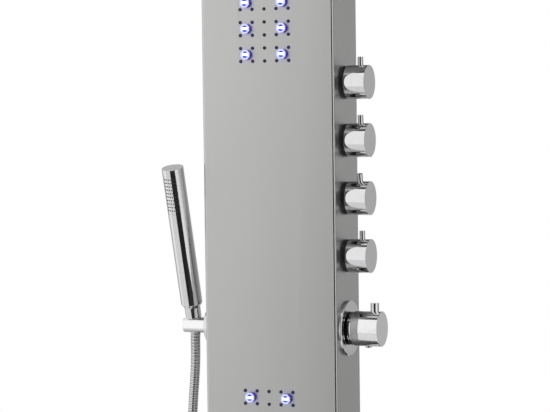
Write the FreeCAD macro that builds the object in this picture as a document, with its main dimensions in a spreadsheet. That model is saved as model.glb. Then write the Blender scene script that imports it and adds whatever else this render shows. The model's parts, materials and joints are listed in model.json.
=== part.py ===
import FreeCAD, Part
import math
import os
import re

import Sketcher

# Shower panel column for a wall. Millimetres, +Z up, front towards -Y, the wall at Y = 0.
# The origin is the middle of the upper wall bracket's two holes, on the wall.

doc = FreeCAD.newDocument("shower_column")
sheet = doc.addObject("Spreadsheet::Sheet", "sizes")

SIZES = (
    # the bent steel column
    ("panel_width", 198, "across the front face"),
    ("panel_depth", 90, "from the wall to the front face"),
    ("sheet_wall", 1.5, "stainless sheet"),
    ("bend_radius", 3.5, "outer radius of each bend"),
    ("return_width", 12, "flange folded in along the wall"),
    ("column_rise", 70, "column top above the upper wall holes"),
    ("column_drop", 1400, "column bottom below the upper wall holes"),
    ("cap_height", 15, "upstand of the bottom cap"),
    ("cap_fit", 0.1, "gap between an inner plate and the sheet round it"),
    # the overhead rain head
    ("head_reach", 480, "from the wall to the head's front edge"),
    ("head_thick", 30, "height of the head"),
    ("head_pitch", 36, "between rain nozzles"),
    ("head_first", 130, "first row of rain nozzles, from the wall"),
    ("head_box_height", 20, "water chamber of the head"),
    # small nozzles and their mats
    ("grid_pitch", 18, "between small nozzles on the column"),
    ("grid_shift", -3.1, "middle column of nozzles from the panel's middle"),
    ("upper_row", 467, "first row of the upper group, below the wall holes"),
    ("lower_row", 1017.8, "first row of the lower group, below the wall holes"),
    ("tip_hole", 2.5, "radius of a nozzle hole in the sheet"),
    ("tip_gap", 0.3, "between a nozzle tip and its hole"),
    ("tip_stand", 1, "tip proud of the sheet"),
    ("mat_thick", 2.5, "silicone mat behind the sheet"),
    ("mat_margin", 10, "mat beyond its outer nozzles"),
    ("box_depth", 24.5, "water chamber behind a mat"),
    ("box_wall", 2.5, "wall of a water chamber"),
    ("spigot_radius", 8, "pipe ends of valves and chambers"),
    ("spigot_length", 9, "spigot on a water chamber"),
    # body jets
    ("jet_ring_radius", 7, "clear ring round a jet"),
    ("jet_stand", 6.5, "ring proud of the sheet"),
    ("jet_edge", 0.6, "broken edge of the ring, and the ball's seat in the sheet"),
    ("scallop_radius", 1.9, "finger scallop in a ring's rim"),
    ("scallop_depth", 0.6, "finger scallop in a ring's rim"),
    ("ring_foot", 1.2, "plain foot of a ring, below its scallops"),
    ("jet_lip", 4.5, "radius of the ring's mouth"),
    ("jet_lip_depth", 1.2, "thickness of the ring's mouth"),
    ("jet_barrel", 5.6, "radius of the socket's barrel"),
    ("jet_barrel_length", 20, "barrel behind the sheet"),
    ("jet_flange", 8.5, "radius of the socket's flange"),
    ("jet_flange_thick", 2.5, "socket flange"),
    ("jet_seat", 2, "socket mouth proud of the sheet"),
    ("ball_radius", 5, "jet ball"),
    ("ball_flat", 4.5, "flat ends of a ball, from its centre"),
    ("ball_out", 2.9, "ball centre proud of the sheet"),
    ("ball_play", 0.1, "running gap round a ball"),
    ("jet_orifice", 1.3, "radius of the water hole in a ball"),
    ("led_radius", 8.2, "radius of a light ring board"),
    ("led_thick", 1.4, "thickness of a light ring board"),
    ("thread_gap", 0.1, "radial gap of a screwed or slid joint"),
    # stop valves on the right side
    ("valve_inset", 45, "valve axes, from the wall"),
    ("knob_first", 588.1, "upper stop valve, below the wall holes"),
    ("knob_pitch", 80.4, "between stop valves"),
    ("knob_radius", 23.6, "stop knob"),
    ("knob_reach", 35.9, "stop knob's face from the column's side"),
    ("knob_wall", 3, "wall of a knob"),
    ("knob_face", 4, "thickness of a knob's end"),
    ("hub_lip", 2, "between a spindle's end and the knob's end"),
    ("small_edge", 0.6, "broken edges of the turned pieces"),
    ("fine_edge", 0.4, "broken edges of the hose nuts"),
    ("knob_chamfer", 0.6, "edge of a knob's face"),
    ("hub_radius", 8, "hub inside a knob"),
    ("ring_radius", 22.8, "black ring under a stop knob"),
    ("ring_length", 5, "length of the black ring"),
    ("running_gap", 0.3, "between a knob and what it turns beside"),
    ("pin_radius", 4, "lever pin of a stop knob"),
    ("pin_stand", 11.5, "lever pin above its knob"),
    ("pin_back", 13, "lever pin's axis behind the knob's face"),
    ("spindle_radius", 4, "stop valve spindle"),
    ("spindle_play", 0.05, "running gap round a spindle"),
    ("neck_radius", 12, "threaded neck of a stop valve"),
    ("neck_stand", 4, "neck beyond the column's side"),
    ("valve_boss", 15, "valve body round its cartridge"),
    ("valve_flange", 19, "flange that seats on the sheet"),
    ("flange_thick", 3, "thickness of a seat flange"),
    ("cartridge_radius", 8.9, "ceramic cartridge"),
    ("cartridge_length", 30, "ceramic cartridge"),
    ("spindle_depth", 15, "spindle inside the cartridge, behind the side face"),
    ("manifold_in", 39, "manifold tube's axis inside the column's side"),
    ("manifold_radius", 11, "manifold tube"),
    ("manifold_end", 24, "manifold tube beyond the end valves"),
    ("outlet_length", 26, "valve outlet, from the manifold's axis"),
    # thermostatic mixer
    ("mixer_gap", 101.3, "mixer axis below the last stop valve"),
    ("mixer_body_radius", 22, "mixer body"),
    ("mixer_tail", 60, "mixer body past the middle, to the left"),
    ("mixer_seat", 26, "mixer's seat flange"),
    ("mixer_neck", 17, "threaded neck of the mixer"),
    ("mixer_neck_stand", 6.5, "mixer neck beyond the side"),
    ("rosette_radius", 39, "mixer's flange disc"),
    ("rosette_thick", 4.5, "mixer's flange disc"),
    ("disc_edge", 1.4, "mixer's flange disc, chamfer of its edge"),
    ("rim_step", 1.6, "collar's rim, beside its groove"),
    ("groove_width", 1, "groove in the collar's rim"),
    ("groove_depth", 1.2, "groove in the collar's rim"),
    ("collar_radius", 19.5, "waist of the collar"),
    ("collar_rim", 23.3, "rim of the collar"),
    ("collar_waist", 2, "length of the collar's waist"),
    ("collar_length", 7, "length of the collar"),
    ("sleeve_radius", 24.3, "stop sleeve"),
    ("sleeve_length", 11, "stop sleeve"),
    ("mixer_knob_radius", 24.6, "temperature knob"),
    ("mixer_knob_wall", 3.5, "wall of the temperature knob"),
    ("mixer_reach", 50.6, "temperature knob's face from the column's side"),
    ("mixer_pin_radius", 6, "lever pin of the temperature knob"),
    ("mixer_pin_back", 10.5, "lever pin's axis behind the knob's face"),
    ("mixer_cartridge_radius", 14.9, "thermostatic cartridge"),
    ("mixer_cartridge_length", 85, "thermostatic cartridge"),
    ("mixer_cartridge_stand", 8, "cartridge beyond the side"),
    ("mixer_spindle_radius", 5, "thermostat spindle"),
    ("inlet_radius", 10.48, "G1/2 male thread"),
    ("inlet_length", 14, "G1/2 male thread"),
    ("inlet_neck", 8, "plain neck above the thread"),
    ("inlet_neck_radius", 9.2, "plain neck above the thread"),
    ("inlet_left", -45, "left inlet from the panel's middle"),
    ("inlet_right", 25, "right inlet from the panel's middle"),
    ("button_radius", 4.5, "temperature stop button"),
    ("button_stand", 1.8, "button proud of the knob"),
    ("button_back", 20, "button's axis behind the knob's face"),
    ("button_head", 6, "button's inner flange"),
    ("button_head_thick", 1.2, "button's inner flange"),
    ("button_seat", 1, "flange below the knob's inner wall"),
    ("button_play", 0.1, "running gap round the button"),
    ("spring_radius", 2.6, "button spring"),
    ("spring_wire", 0.4, "radius of the spring's wire"),
    ("spring_turns", 5, "turns of the spring"),
    # hand shower and its holder
    ("holder_drop", 931.7, "holder axis below the wall holes"),
    ("hand_out", 37.2, "hand shower's axis from the column's left side"),
    ("hand_lean", 16.5, "hand shower's lean to the front, degrees"),
    ("arm_height", 21.3, "holder arm"),
    ("arm_depth", 30, "holder arm, front to back"),
    ("arm_round", 7.5, "edges along the arm"),
    ("arm_reach", 50.5, "arm's end from the column's side"),
    ("arm_end_round", 2, "arm's end"),
    ("base_radius", 27, "round base of the holder"),
    ("base_length", 12, "round base of the holder"),
    ("bolt_radius", 6, "threaded tail of the arm"),
    ("bolt_length", 10, "tail inside the column's side"),
    ("nut_radius", 11, "nut on the tail, across corners"),
    ("nut_thick", 6, "nut on the tail"),
    ("slot_width", 15, "hose slot in the arm's end"),
    ("seat_gap", 0.3, "round the hose nut in the arm"),
    ("hose_nut_radius", 10.7, "hose nut at its wide end"),
    ("hose_nut_foot", 9, "hose nut at its narrow end"),
    ("hose_nut_top", 26, "nut's upper face above the arm's middle"),
    ("hose_nut_cone", 12, "the cone's ends, above and below the arm's middle"),
    ("hose_nut_tail", 16, "nut's lower face below the arm's middle"),
    ("hose_radius", 7, "shower hose"),
    ("hose_wall", 2, "shower hose"),
    ("hose_straight", 33, "hose that rises straight into its lower nut"),
    ("foot_wall", 3, "bottom of the hand shower's tube"),
    ("neck_bore_radius", 8, "hand shower's threaded end"),
    ("neck_end", 6, "threaded end above the arm's middle"),
    ("tube_radius", 15.5, "hand shower tube"),
    ("tube_wall", 1.5, "hand shower tube"),
    ("tube_foot", 11.5, "tube's lower face"),
    ("tube_taper", 9, "length of the lower chamfer"),
    ("tube_top", 233, "tube's upper edge above the arm's middle"),
    ("top_thick", 4.5, "cap on the tube"),
    ("top_plug", 8, "cap inside the tube"),
    ("window_foot", 167, "spray window's lower edge"),
    ("window_height", 57, "spray window"),
    ("window_width", 19, "spray window, measured straight across"),
    # hose outlet at the bottom
    ("outlet_side", 30, "hose outlet from the panel's middle"),
    ("nipple_radius", 9.8, "hose outlet through the cap"),
    ("nipple_flange", 14, "hose outlet's flange"),
    ("nipple_flange_thick", 3, "hose outlet's flange"),
    ("nipple_thread", 12, "thread below the flange"),
    ("nipple_rise", 20, "hose outlet above the cap"),
    ("lock_nut", 15, "nut inside the cap"),
    ("lock_nut_thick", 6, "nut inside the cap"),
    ("lower_nut_length", 27, "hose nut at the outlet"),
    ("pipe_radius", 7, "inner pipes"),
    ("pipe_gap", 3, "between the pipes and the mixer body"),
    ("pipe_step", 45, "drop over which a pipe goes back behind the mixer"),
    ("pipe_drop", 60, "pipe to the hose outlet, first bend below the mixer axis"),
    ("pipe_slant", 70, "pipe to the hose outlet, height of its slant"),
    ("pipe_turn", 70, "pipe to the upper chamber, turn below the chamber"),
    ("pipe_clear", 10, "pipe to the lower chamber, below the mixer body"),
    ("upper_spigot", 20, "upper chamber's spigot, left of its middle"),
    ("side_bend", 22, "pipe beside the lower chamber's spigot"),
    ("generator_radius", 14, "turbine that feeds the lights, on the supply pipe"),
    ("generator_length", 30, "turbine that feeds the lights"),
    ("generator_step", 4, "turbine's stepped ends"),
    # wall brackets
    ("bracket_thick", 2.5, "bracket steel"),
    ("bracket_height", 40, "bracket"),
    ("bracket_hole", 3.25, "radius of a wall hole"),
    ("bracket_spacing", 80, "between a bracket's two wall holes"),
    ("bracket_reach", 60, "bracket's ears, from the wall"),
    ("bracket_middle", 472.7, "middle bracket below the upper one"),
    ("bracket_lower", 1300, "lower bracket below the upper one"),
    ("screw_radius", 2.5, "side screws"),
    ("screw_head", 3.5, "side screws"),
    ("screw_dome", 2.5, "side screws"),
    ("screw_length", 9, "side screws, inside the side face"),
)

for row, (alias, value, note) in enumerate(SIZES, 1):
    sheet.set(f"A{row}", alias)
    sheet.set(f"B{row}", str(value))
    sheet.setAlias(f"B{row}", alias)
    sheet.set(f"C{row}", note)
doc.recompute()

NAMES = re.compile(r"\b(" + "|".join(sorted((s[0] for s in SIZES), key=len, reverse=True)) + r")\b")
UPPER_ROWS, LOWER_ROWS, GRID_COLUMNS = 6, 2, 5
HEAD_ROWS, HEAD_COLUMNS = 9, 5
SCALLOPS = 8
KNOBS = 4
# How far each stop knob is turned in the photograph, degrees from upright towards the front.
KNOB_REST = (0, 4, 13, 0)


def bound(text):
    """An expression on the sheet's aliases, in the form that a property takes."""
    return NAMES.sub(r"sizes.\1", str(text))


def number(text):
    """The value of an expression on the sheet's aliases."""
    return float(sheet.evalExpression(bound(text)))


def tie(thing, **texts):
    """Set properties from expressions; a double underscore stands for a dot."""
    for path, text in texts.items():
        thing.setExpression(path.replace("__", "."), bound(text))


# Heights and places that several pieces share, as expressions.
SIDE = "(panel_width / 2)"
INNER = f"({SIDE} - sheet_wall)"
FRONT = "(0 - panel_depth)"
AXIS_Y = "(0 - valve_inset)"
TIP = "(tip_hole - tip_gap)"
MAT_BACK = "(0 - panel_depth + sheet_wall + mat_thick)"
BOX_BACK = "(0 - panel_depth + sheet_wall + mat_thick + box_depth)"
HEAD_Z = "column_rise"
HEAD_MAT_TOP = "(column_rise + sheet_wall + mat_thick)"
MANIFOLD_X = f"({SIDE} - manifold_in)"
LAST_KNOB = f"(knob_first + knob_pitch * {KNOBS - 1})"
JET_REAR = "(0 - jet_barrel_length)"


# ---------------------------------------------------------------- building helpers


def new_body(label, x="0", y="0", z="0", axis=(1, 0, 0), turn="0"):
    """A body at a point, turned about an axis of the model."""
    body = doc.addObject("PartDesign::Body", label)
    body.Label = label
    rotation = FreeCAD.Rotation(FreeCAD.Vector(*axis), number(turn))
    body.Placement = FreeCAD.Placement(FreeCAD.Vector(), rotation)
    tie(body, Placement__Base__x=x, Placement__Base__y=y, Placement__Base__z=z)
    if number(turn):
        tie(body, Placement__Rotation__Angle=turn)
    return body


def sketch_on(body, role, lift="0"):
    """A sketch on one of the body's own planes, moved along the plane's normal."""
    plane = next(f for f in body.Origin.OriginFeatures if f.Role == role)
    sketch = body.newObject("Sketcher::SketchObject", body.Name + "_sketch")
    sketch.AttachmentSupport = [(plane, "")]
    sketch.MapMode = "FlatFace"
    tie(sketch, AttachmentOffset__Base__z=lift)
    return sketch


def hexagon(radius):
    """The six corners of a nut, as expressions."""
    corners = []
    for i in range(6):
        turned = math.radians(60 * i)
        corners.append((f"{radius} * {math.cos(turned):.6f}", f"{radius} * {math.sin(turned):.6f}"))
    return corners


def outline(sketch, corners):
    """A closed outline of straight edges whose corners are pairs of expressions."""
    first, count = sketch.GeometryCount, len(corners)
    spots = [FreeCAD.Vector(number(a), number(b), 0) for a, b in corners]
    edges = [Part.LineSegment(spots[i], spots[(i + 1) % count]) for i in range(count)]
    sketch.addGeometry(edges, False)
    joins = [
        Sketcher.Constraint("Coincident", first + i, 2, first + (i + 1) % count, 1)
        for i in range(count)
    ]
    sketch.addConstraint(joins)
    for i, (a, b) in enumerate(corners):
        for kind, text in (("DistanceX", a), ("DistanceY", b)):
            index = sketch.addConstraint(Sketcher.Constraint(kind, -1, 1, first + i, 1, number(text)))
            sketch.setExpression(f"Constraints[{index}]", bound(text))


def rectangle(sketch, left, right, low, high):
    """An upright rectangle between four expressions."""
    outline(sketch, ((left, low), (right, low), (right, high), (left, high)))


def circles(sketch, spots, radius):
    """Equal circles at pairs of expressions."""
    first = sketch.GeometryCount
    size = number(radius)
    for a, b in spots:
        centre = FreeCAD.Vector(number(a), number(b), 0)
        sketch.addGeometry(Part.Circle(centre, FreeCAD.Vector(0, 0, 1), size), False)
    index = sketch.addConstraint(Sketcher.Constraint("Radius", first, size))
    sketch.setExpression(f"Constraints[{index}]", bound(radius))
    for i, (a, b) in enumerate(spots):
        if i:
            sketch.addConstraint(Sketcher.Constraint("Equal", first, first + i))
        for kind, text in (("DistanceX", a), ("DistanceY", b)):
            index = sketch.addConstraint(Sketcher.Constraint(kind, -1, 1, first + i, 3, number(text)))
            sketch.setExpression(f"Constraints[{index}]", bound(text))


def turn(body, corners, about):
    """The outline turned once round the sketch's H_Axis or V_Axis."""
    sketch = sketch_on(body, "XZ_Plane" if about == "Z" else "XY_Plane")
    outline(sketch, corners)
    solid = body.newObject("PartDesign::Revolution", body.Name + "_turned")
    solid.Profile = sketch
    solid.ReferenceAxis = (sketch, ["H_Axis" if about == "X" else "V_Axis"])
    solid.Angle = 360
    return solid


def pad(body, sketch, length, back=False):
    """Material from the sketch along its normal, or against it."""
    solid = body.newObject("PartDesign::Pad", body.Name + "_pad")
    solid.Profile = sketch
    tie(solid, Length=length)
    solid.Reversed = back
    return solid


def pocket(body, sketch, length, ahead=False):
    """A cut from the sketch against its normal, or along it; it has to take material away."""
    doc.recompute()
    before = body.Shape.Volume
    hole = body.newObject("PartDesign::Pocket", body.Name + "_pocket")
    hole.Profile = sketch
    tie(hole, Length=length)
    hole.Reversed = ahead
    doc.recompute()
    if not body.Shape.Volume < before - 1e-3:
        raise ValueError(f"a pocket in {body.Label} cuts nothing")
    return hole


def repeat_round(body, feature, sketch, count):
    """The feature repeated evenly round its sketch's normal."""
    pattern = body.newObject("PartDesign::PolarPattern", body.Name + "_pattern")
    pattern.Originals = [feature]
    pattern.Axis = (sketch, ["N_Axis"])
    pattern.Angle = 360
    pattern.Occurrences = count
    body.Tip = pattern
    return pattern


def round_edges(body, radius, wanted, chamfer=False):
    """A fillet or chamfer on the body's edges that wanted(edge) accepts."""
    doc.recompute()
    base = body.Tip
    names = [f"Edge{i}" for i, edge in enumerate(base.Shape.Edges, 1) if wanted(edge)]
    if not names:
        raise ValueError(f"no edge of {body.Label} to round")
    kind, path = ("PartDesign::Chamfer", "Size") if chamfer else ("PartDesign::Fillet", "Radius")
    work = body.newObject(kind, body.Name + "_edges")
    work.Base = (base, names)
    tie(work, **{path: radius})
    return work


def runs_at(edge, **places):
    """True for a straight edge whose two ends have these coordinates."""
    ends = [v.Point for v in edge.Vertexes]
    if len(ends) != 2 or not isinstance(edge.Curve, Part.Line):
        return False
    return all(abs(getattr(p, axis) - number(text)) < 1e-4 for p in ends for axis, text in places.items())


def group(label, members):
    """Like pieces that share one node, as separate solids."""
    union = doc.addObject("Part::Compound", label)
    union.Label = label
    union.Links = members
    return union


def cylinder(name, radius, height, x="0", y="0", z="0", axis=(0, 0, 1), turn_by=0):
    """A Part cylinder along Z, then turned about an axis and moved."""
    part = doc.addObject("Part::Cylinder", name)
    tie(part, Radius=radius, Height=height)
    part.Placement = FreeCAD.Placement(FreeCAD.Vector(), FreeCAD.Rotation(FreeCAD.Vector(*axis), turn_by))
    tie(part, Placement__Base__x=x, Placement__Base__y=y, Placement__Base__z=z)
    return part


def tube_path(points, bend=None):
    """A wire of straight runs joined by tangent arcs, and the arcs' radii.

    Without bend, each arc's radius is 0.45 of its shorter run over the tangent of half the turn.
    """
    spots = [FreeCAD.Vector(*p) for p in points]
    edges, radii, start = [], [], spots[0]
    for before, corner, after in zip(spots, spots[1:], spots[2:]):
        into, out = (corner - before).normalize(), (after - corner).normalize()
        half = into.getAngle(out) / 2
        shorter = min(corner.distanceToPoint(before), corner.distanceToPoint(after))
        radius = bend if bend else 0.45 * shorter / math.tan(half)
        reach = radius * math.tan(half)
        first, last = corner - into * reach, corner + out * reach
        towards = (out - into).normalize()
        middle = corner + towards * (radius / math.cos(half) - radius)
        edges += [Part.LineSegment(start, first).toShape(), Part.Arc(first, middle, last).toShape()]
        radii.append(radius)
        start = last
    edges.append(Part.LineSegment(start, spots[-1]).toShape())
    return Part.Wire(edges), radii


def swept_tube(label, points, radius, bend=None):
    """A round tube along tube_path, checked against its section times its length."""
    path, radii = tube_path(points, bend)
    ahead = FreeCAD.Vector(*points[1]) - FreeCAD.Vector(*points[0])
    ring = Part.Wire([Part.Circle(FreeCAD.Vector(*points[0]), ahead, radius).toShape()])
    solid = path.makePipeShell([ring], True, False)
    expected = math.pi * radius**2 * path.Length
    if abs(solid.Volume / expected - 1) > 0.01:
        raise ValueError(f"{label}: volume {solid.Volume:.0f}, expected {expected:.0f}")
    piece = doc.addObject("Part::Feature", label)
    piece.Label = label
    piece.Shape = solid
    return piece, path.Length, radii


nodes = []

# ---------------------------------------------------------------- places of what repeats


def grid(first_row, rows):
    """Nozzle places (x, z) of one group on the column's front."""
    half = (GRID_COLUMNS - 1) / 2
    return [
        (f"grid_shift + grid_pitch * {c - half}", f"0 - {first_row} - grid_pitch * {r}")
        for r in range(rows)
        for c in range(GRID_COLUMNS)
    ]


def jets(first_row, rows):
    """Jet places (x, z): in the middle of the outer cells, in every second gap between rows."""
    return [
        (f"grid_shift + grid_pitch * {side * 1.5}", f"0 - {first_row} - grid_pitch * {r + 0.5}")
        for r in range(0, rows, 2)
        for side in (-1, 1)
    ]


UPPER_TIPS, LOWER_TIPS = grid("upper_row", UPPER_ROWS), grid("lower_row", LOWER_ROWS)
UPPER_JETS, LOWER_JETS = jets("upper_row", UPPER_ROWS), jets("lower_row", LOWER_ROWS)
JETS = UPPER_JETS + LOWER_JETS
HEAD_TIPS = [
    (f"head_pitch * {c - (HEAD_COLUMNS - 1) / 2}", f"0 - head_first - head_pitch * {r}")
    for r in range(HEAD_ROWS)
    for c in range(HEAD_COLUMNS)
]
KNOB_Z = [f"(0 - knob_first - knob_pitch * {i})" for i in range(KNOBS)]
BRACKET_Z = ["0", "(0 - bracket_middle)", "(0 - bracket_lower)"]

# ---------------------------------------------------------------- column


def column_shell():
    """One bent sheet: front, two sides and two narrow returns along the wall."""
    body = new_body("column_shell", z="0 - column_drop")
    height = "column_drop + column_rise"
    base = sketch_on(body, "XY_Plane")
    rectangle(base, f"0 - {SIDE}", SIDE, FRONT, "0")
    pad(body, base, height)
    round_edges(
        body,
        "bend_radius",
        lambda e: runs_at(e, y=FRONT, x=SIDE) or runs_at(e, y=FRONT, x=f"0 - {SIDE}"),
    )
    inside = sketch_on(body, "XY_Plane", height)
    rectangle(inside, f"0 - {INNER}", INNER, "0 - panel_depth + sheet_wall", "0 - sheet_wall")
    pocket(body, inside, height)
    inner_front = "0 - panel_depth + sheet_wall"
    round_edges(
        body,
        "bend_radius - sheet_wall",
        lambda e: runs_at(e, y=inner_front, x=INNER) or runs_at(e, y=inner_front, x=f"0 - {INNER}"),
    )
    back = sketch_on(body, "XY_Plane", height)
    rectangle(back, f"return_width - {SIDE}", f"{SIDE} - return_width", "0 - sheet_wall - 1", "1")
    pocket(body, back, height)
    rise = "column_drop"
    front = sketch_on(body, "XZ_Plane", "panel_depth + 1")
    circles(front, [(x, f"{z} + {rise}") for x, z in UPPER_TIPS + LOWER_TIPS], "tip_hole")
    pocket(body, front, "sheet_wall + 2")
    front = sketch_on(body, "XZ_Plane", "panel_depth + 1")
    circles(front, [(x, f"{z} + {rise}") for x, z in JETS], "jet_barrel + thread_gap")
    pocket(body, front, "sheet_wall + 2")
    for lift in (f"{SIDE} + 1", f"0 - {INNER} + 1"):
        side = sketch_on(body, "YZ_Plane", lift)
        circles(side, [(AXIS_Y, f"{z} + {rise}") for z in BRACKET_Z], "screw_radius + thread_gap")
        pocket(body, side, "sheet_wall + 2")
    right = sketch_on(body, "YZ_Plane", f"{SIDE} + 1")
    circles(right, [(AXIS_Y, f"{z} + {rise}") for z in KNOB_Z], "neck_radius + thread_gap")
    pocket(body, right, "sheet_wall + 2")
    right = sketch_on(body, "YZ_Plane", f"{SIDE} + 1")
    circles(right, [(AXIS_Y, f"{rise} - {LAST_KNOB} - mixer_gap")], "mixer_neck + thread_gap")
    pocket(body, right, "sheet_wall + 2")
    left = sketch_on(body, "YZ_Plane", f"0 - {INNER} + 1")
    circles(left, [(AXIS_Y, f"{rise} - holder_drop")], "bolt_radius + thread_gap")
    pocket(body, left, "sheet_wall + 2")
    return body


def bottom_cap():
    """A folded tray that closes the column's foot, with the hose outlet's hole."""
    body = new_body("bottom_cap", z="0 - column_drop")
    edge = f"({INNER} - cap_fit)"
    front, back = "(0 - panel_depth + sheet_wall + cap_fit)", "(0 - sheet_wall - cap_fit)"
    base = sketch_on(body, "XY_Plane")
    rectangle(base, f"0 - {edge}", edge, front, back)
    pad(body, base, "cap_height")
    round_edges(
        body,
        "bend_radius - sheet_wall",
        lambda e: runs_at(e, y=front, x=edge) or runs_at(e, y=front, x=f"0 - {edge}"),
    )
    inside = sketch_on(body, "XY_Plane", "cap_height")
    rectangle(
        inside,
        f"sheet_wall - {edge}",
        f"{edge} - sheet_wall",
        f"{front} + sheet_wall",
        f"{back} - sheet_wall",
    )
    pocket(body, inside, "cap_height - sheet_wall")
    hole = sketch_on(body, "XY_Plane", "sheet_wall + 1")
    circles(hole, [("outlet_side", AXIS_Y)], "nipple_radius + thread_gap")
    pocket(body, hole, "sheet_wall + 2")
    return body


def wall_bracket(index, z):
    """A joggled strip on the wall whose ears reach along the column's sides."""
    body = new_body(f"wall_bracket_{index}", z=z)
    ear, step = f"({INNER} - cap_fit)", f"({SIDE} - return_width - bracket_thick)"
    clear = "(0 - sheet_wall - 0.5)"
    base = sketch_on(body, "XY_Plane", "0 - bracket_height / 2")
    half = [
        (step, "0"),
        (step, clear),
        (ear, clear),
        (ear, "0 - bracket_reach"),
        (f"{ear} - bracket_thick", "0 - bracket_reach"),
        (f"{ear} - bracket_thick", f"{clear} - bracket_thick"),
        (f"{step} - bracket_thick", f"{clear} - bracket_thick"),
        (f"{step} - bracket_thick", "0 - bracket_thick"),
    ]
    mirrored = [(f"0 - ({x})", y) for x, y in reversed(half)]
    outline(base, half + mirrored)
    pad(body, base, "bracket_height")
    wall = sketch_on(body, "XZ_Plane", "bracket_thick + 1")
    circles(wall, [("bracket_spacing / 2", "0"), ("0 - bracket_spacing / 2", "0")], "bracket_hole")
    pocket(body, wall, "bracket_thick + 2")
    for lift in (f"{ear} + 1", f"bracket_thick + 1 - {ear}"):
        side = sketch_on(body, "YZ_Plane", lift)
        circles(side, [(AXIS_Y, "0")], "screw_radius + thread_gap")
        pocket(body, side, "bracket_thick + 2")
    return body


def side_screw(index, z, flip):
    """A domed screw through the column's side into a bracket's ear."""
    body = new_body(f"side_screw_{index}", y=AXIS_Y, z=z, axis=(0, 0, 1), turn=flip)
    turn(
        body,
        (
            (f"{SIDE} + screw_dome", "0"),
            (f"{SIDE} + screw_dome * 0.9", "screw_head * 0.45"),
            (f"{SIDE} + screw_dome * 0.55", "screw_head * 0.84"),
            (SIDE, "screw_head"),
            (SIDE, "screw_radius"),
            (f"{SIDE} - screw_length", "screw_radius"),
            (f"{SIDE} - screw_length", "0"),
        ),
        "X",
    )
    return body


# ---------------------------------------------------------------- overhead rain head


def head_shell():
    """A folded tray, open below, that sits on the column's top."""
    body = new_body("head_shell", z=HEAD_Z)
    reach = "(0 - head_reach)"
    base = sketch_on(body, "XY_Plane")
    rectangle(base, f"0 - {SIDE}", SIDE, reach, "0")
    pad(body, base, "head_thick")
    round_edges(
        body,
        "bend_radius",
        lambda e: any(
            (
                runs_at(e, y=reach, x=SIDE),
                runs_at(e, y=reach, x=f"0 - {SIDE}"),
                runs_at(e, y=reach, z="head_thick"),
                runs_at(e, x=SIDE, z="head_thick"),
                runs_at(e, x=f"0 - {SIDE}", z="head_thick"),
            )
        ),
    )
    inside = sketch_on(body, "XY_Plane")
    rectangle(inside, f"0 - {INNER}", INNER, f"{reach} + sheet_wall", "0 - sheet_wall")
    pocket(body, inside, "head_thick - sheet_wall", ahead=True)
    return body


def head_plate():
    """The spray plate that closes the head from below."""
    body = new_body("head_plate", z=HEAD_Z)
    edge = f"({INNER} - cap_fit)"
    base = sketch_on(body, "XY_Plane")
    rectangle(base, f"0 - {edge}", edge, "0 - head_reach + sheet_wall + cap_fit", FRONT)
    pad(body, base, "sheet_wall")
    holes = sketch_on(body, "XY_Plane", "sheet_wall + 1")
    circles(holes, HEAD_TIPS, "tip_hole")
    pocket(body, holes, "sheet_wall + 2")
    return body


HEAD_HALF = f"(head_pitch * {(HEAD_COLUMNS - 1) / 2} + mat_margin)"
HEAD_BACK = "(mat_margin - head_first)"
HEAD_FRONT = f"(0 - head_first - head_pitch * {HEAD_ROWS - 1} - mat_margin)"
HEAD_PIPE_X, HEAD_PIPE_Z = "5", f"({HEAD_MAT_TOP} + head_box_height / 2)"


def head_nozzle_mat():
    """A silicone mat whose tips reach down through the spray plate."""
    body = new_body("head_nozzle_mat", z="column_rise + sheet_wall")
    base = sketch_on(body, "XY_Plane")
    rectangle(base, f"0 - {HEAD_HALF}", HEAD_HALF, HEAD_FRONT, HEAD_BACK)
    pad(body, base, "mat_thick")
    tips = sketch_on(body, "XY_Plane")
    circles(tips, HEAD_TIPS, TIP)
    pad(body, tips, "sheet_wall + tip_stand", back=True)
    return body


def head_water_box():
    """The head's water chamber, open to the mat, with its inlet at the rear."""
    body = new_body("head_water_box", z=HEAD_MAT_TOP)
    base = sketch_on(body, "XY_Plane")
    rectangle(base, f"0 - {HEAD_HALF}", HEAD_HALF, HEAD_FRONT, HEAD_BACK)
    pad(body, base, "head_box_height")
    inlet = sketch_on(body, "XZ_Plane", f"0 - {HEAD_BACK}")
    circles(inlet, [(HEAD_PIPE_X, "head_box_height / 2")], "spigot_radius")
    pad(body, inlet, "spigot_length", back=True)
    inside = sketch_on(body, "XY_Plane")
    rectangle(
        inside,
        f"box_wall - {HEAD_HALF}",
        f"{HEAD_HALF} - box_wall",
        f"{HEAD_FRONT} + box_wall",
        f"{HEAD_BACK} - box_wall",
    )
    pocket(body, inside, "head_box_height - box_wall", ahead=True)
    return body


# ---------------------------------------------------------------- nozzle groups on the front

GRID_HALF = f"(grid_pitch * {(GRID_COLUMNS - 1) / 2} + mat_margin)"


def nozzle_mat(label, first_row, rows, tips, jet_places):
    """A silicone mat behind the front sheet, with a tip for each hole and a pocket round each jet."""
    body = new_body(label, y="0 - panel_depth + sheet_wall")
    base = sketch_on(body, "XZ_Plane", "0 - mat_thick")
    rectangle(
        base,
        f"grid_shift - {GRID_HALF}",
        f"grid_shift + {GRID_HALF}",
        f"0 - {first_row} - grid_pitch * {rows - 1} - mat_margin",
        f"mat_margin - {first_row}",
    )
    pad(body, base, "mat_thick")
    points = sketch_on(body, "XZ_Plane")
    circles(points, tips, TIP)
    pad(body, points, "sheet_wall + tip_stand")
    holes = sketch_on(body, "XZ_Plane", "1")
    circles(holes, jet_places, "jet_barrel + thread_gap")
    pocket(body, holes, "mat_thick + 2")
    seats = sketch_on(body, "XZ_Plane")
    circles(seats, jet_places, "led_radius + thread_gap")
    pocket(body, seats, "led_thick + thread_gap")
    return body


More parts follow.
